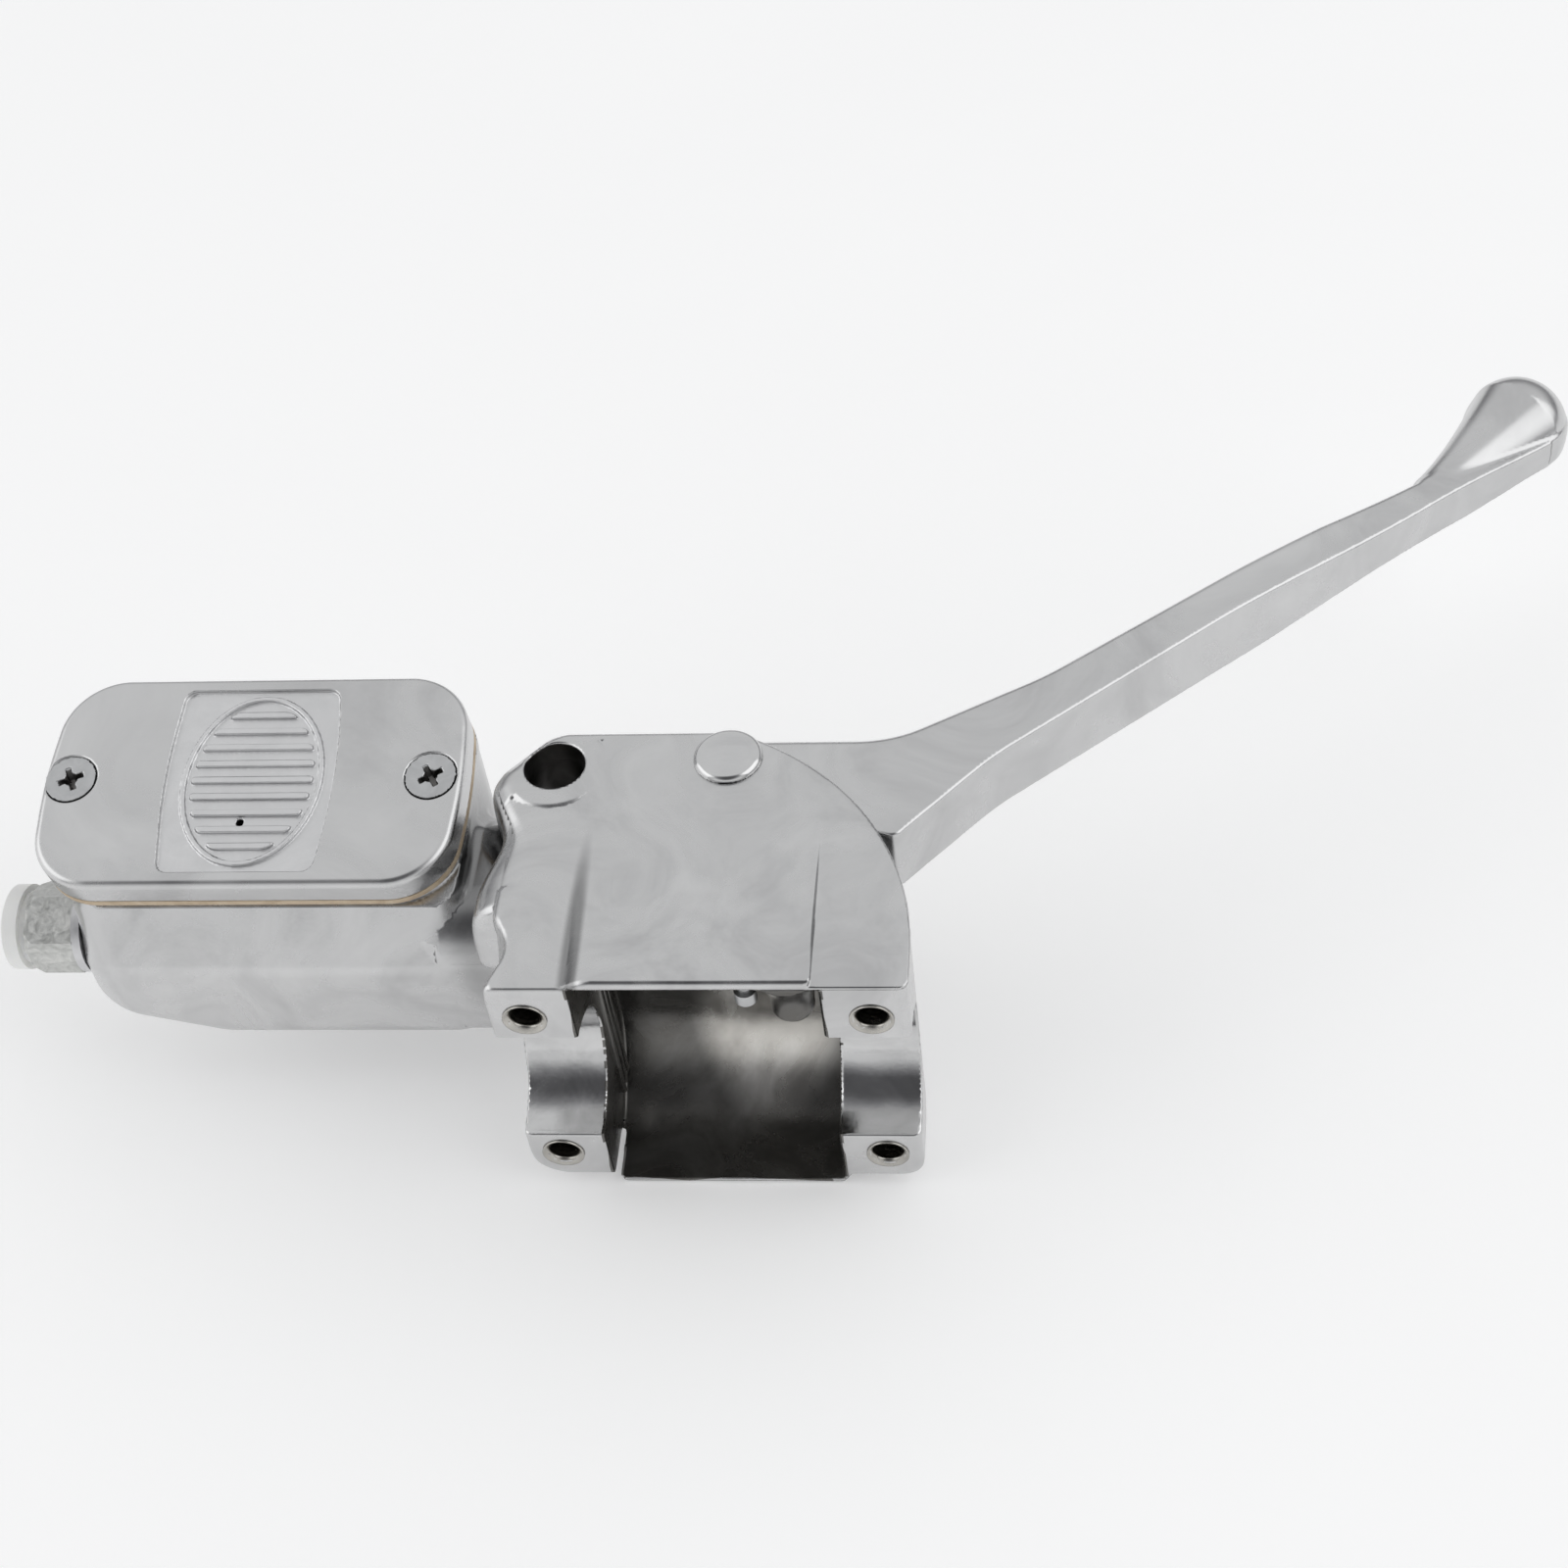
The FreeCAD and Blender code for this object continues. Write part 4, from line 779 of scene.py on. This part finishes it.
def coil(name, node, radius, wire, turns, sides=10):
    """Round wire wound along X inside a node's box, with plain ends."""
    low, high = (np.array(corner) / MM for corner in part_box(node))
    middle = (low + high) / 2
    share = np.linspace(0, 1, round(turns * 30) + 1)[:, None]
    angle = share * turns * 2 * np.pi
    out = np.hstack([0 * angle, np.cos(angle), np.sin(angle)])
    path = radius * out + middle * (0, 1, 1)
    path[:, :1] += low[0] + wire + (high[0] - low[0] - 2 * wire) * share
    along = np.gradient(path, axis=0)
    across = np.cross(along / np.linalg.norm(along, axis=1, keepdims=True), out)
    rings = [path + wire * (np.cos(turn) * out + np.sin(turn) * across)
             for turn in np.arange(sides) * 2 * np.pi / sides]
    points = np.stack(rings, 1).reshape(-1, 3) * MM
    faces = [[i * sides + j, i * sides + (j + 1) % sides, (i + 1) * sides + (j + 1) % sides,
              (i + 1) * sides + j] for i in range(len(path) - 1) for j in range(sides)]
    last = (len(path) - 1) * sides
    faces += [list(range(sides))[::-1], list(range(last, last + sides))]
    return swept(name, points.tolist(), faces)


spring = place_piece(coil("wound_spring", "return_spring", 6.0, 0.55, 7.5), STEEL,
                     "return_spring", "housing")
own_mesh(spring)


RIB_PITCH, RIB_START = 1.9, 0.6


def rib_distance(x, y, z):
    """Wiring ribs that stand on the cavity's left wall."""
    number = np.clip(np.round((y - RIB_START) / RIB_PITCH), 7, 9)
    near = np.abs(y - RIB_PITCH * number - RIB_START) - 0.45
    rib = keep(near, slab(x, -18.9, -17.6), 0.35)
    return keep(rib, np.maximum(slab(z, -20.5, 24.2), CAVITY.distance(y, z) - 0.4), 0.2)


# The ribs take the cavity's painted shade.
fixed(mesh_piece("wiring_ribs", rib_distance, (-19.5, 12, -22), (-17, 20, 25), 0.22, 0.2),
      RECESS_PAINTED_SHADE)
lid = mesh_piece("ribbed_cover", cover, (-111, 20, 12), (-40, 64, 30), 0.3, 0.45)
place_piece(lid, COVER, "reservoir_cover", "housing")
mid_x, mid_y, mid_z = centres(lid)
across, height = cover_axes(mid_y, mid_z)
paint(lid, PANEL_HAZE, (height > -1) & (PANEL.distance(mid_x - COVER_CENTRE[0], across) < -0.2))


# ---- camera, light and floor ----------------------------------------------------------------

def face(item, right, up, back, place):
    """Puts an object at a place, with its own axes along right, up and back."""
    matrix = np.eye(4)
    matrix[:3] = np.stack([right, up, back, place], 1)
    item.matrix_world = Matrix(matrix.tolist())


def photo_camera():
    """Camera at the viewing angle: elevation and turn, then a small roll."""
    lift, turn, lean = np.radians((46.02, 6.95, -5.73))
    spin = np.array([(np.cos(turn), -np.sin(turn), 0), (np.sin(turn), np.cos(turn), 0),
                     (0, 0, 1)])
    right = spin @ (1, 0, 0)
    up = spin @ (0, np.sin(lift), np.cos(lift))
    back = spin @ (0, -np.cos(lift), np.sin(lift))
    right, up = (np.cos(lean) * right + np.sin(lean) * up,
                 np.cos(lean) * up - np.sin(lean) * right)
    stand = (369.63 * back + 25.895 * right + 61.347 * up) * MM
    data = bpy.data.cameras.new("view")
    data.lens, data.sensor_width = 55.94, 36.0
    data.shift_x = data.shift_y = -0.0625
    data.clip_start, data.clip_end = 0.01, 20.0
    camera = add_object("view", data)
    face(camera, right, up, back, stand)
    bpy.context.scene.camera = camera


def softbox(name, place, aim, size, power):
    """Rectangular area light that faces a point."""
    data = bpy.data.lights.new(name, "AREA")
    data.shape, data.size, data.size_y, data.energy = "RECTANGLE", *size, power
    back = unit(np.subtract(place, aim))
    side = unit(np.cross((0, 0, 1), back) + 1e-9)
    face(add_object(name, data), side, np.cross(back, side), back, place)


def studio():
    """Pale floor, two softboxes, and a sky that darkens low down and towards one direction."""
    world = bpy.data.worlds.new("studio")
    bpy.context.scene.world = world
    world.use_nodes = True
    tree = world.node_tree
    place = add(tree, "TexCoord").node.outputs["Generated"]
    facing = add(tree, "VectorMath", {"operation": "DOT_PRODUCT"}).node
    tree.links.new(place, facing.inputs[0])
    facing.inputs[1].default_value = (0.0, -0.64, 0.77)
    share = add(tree, "MapRange", Value=facing.outputs["Value"], From_Min=0.97, From_Max=0.78)
    parts = add(tree, "SeparateXYZ", Vector=place).node.outputs
    height = add(tree, "MapRange", Value=parts["Z"], From_Min=0.08, From_Max=0.45, To_Min=0.25)
    ahead = add(tree, "MapRange", Value=parts["Y"], From_Min=-0.3, From_Max=-0.8)
    level = add(tree, "Math", {"operation": "MAXIMUM"}).node
    tree.links.new(height, level.inputs[0])
    tree.links.new(ahead, level.inputs[1])
    both = add(tree, "Math", {"operation": "MULTIPLY"}).node
    tree.links.new(share, both.inputs[0])
    tree.links.new(level.outputs[0], both.inputs[1])
    sky = ramp(tree, both.outputs[0], [(0.10, 0.10, 0.105), (0.26, 0.26, 0.27),
                                       (0.55, 0.555, 0.56), (0.78, 0.785, 0.79)])
    tree.links.new(sky, tree.nodes["Background"].inputs["Color"])
    tree.nodes["Background"].inputs["Strength"].default_value = 1.0
    mesh = bpy.data.meshes.new("floor")
    reach, ground = 3.0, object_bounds()[0][2] - 0.0003
    mesh.from_pydata([(-reach, -reach, ground), (reach, -reach, ground), (reach, reach, ground),
                      (-reach, reach, ground)], [], [(0, 1, 2, 3)])
    floor = add_object("floor", mesh)
    mesh.materials.append(finish("pale_floor", [(0.86, 0.86, 0.86), (0.88, 0.88, 0.88)],
                                 (0.7, 0.8), 3, 60, Specular_IOR_Level=0.2,
                                 Emission_Color=(1, 1, 1, 1), Emission_Strength=0.24))
    floor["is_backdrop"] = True
    softbox("left", (-1.3, -0.1, 0.6), (0, 0.05, 0), (1.4, 1.4), 4.4)
    softbox("right", (1.05, 0.0, 0.75), (0, 0.05, 0), (1.3, 1.3), 3.8)


photo_camera()
studio()
view = bpy.context.scene.view_settings
view.view_transform, view.look = "Standard", "None"
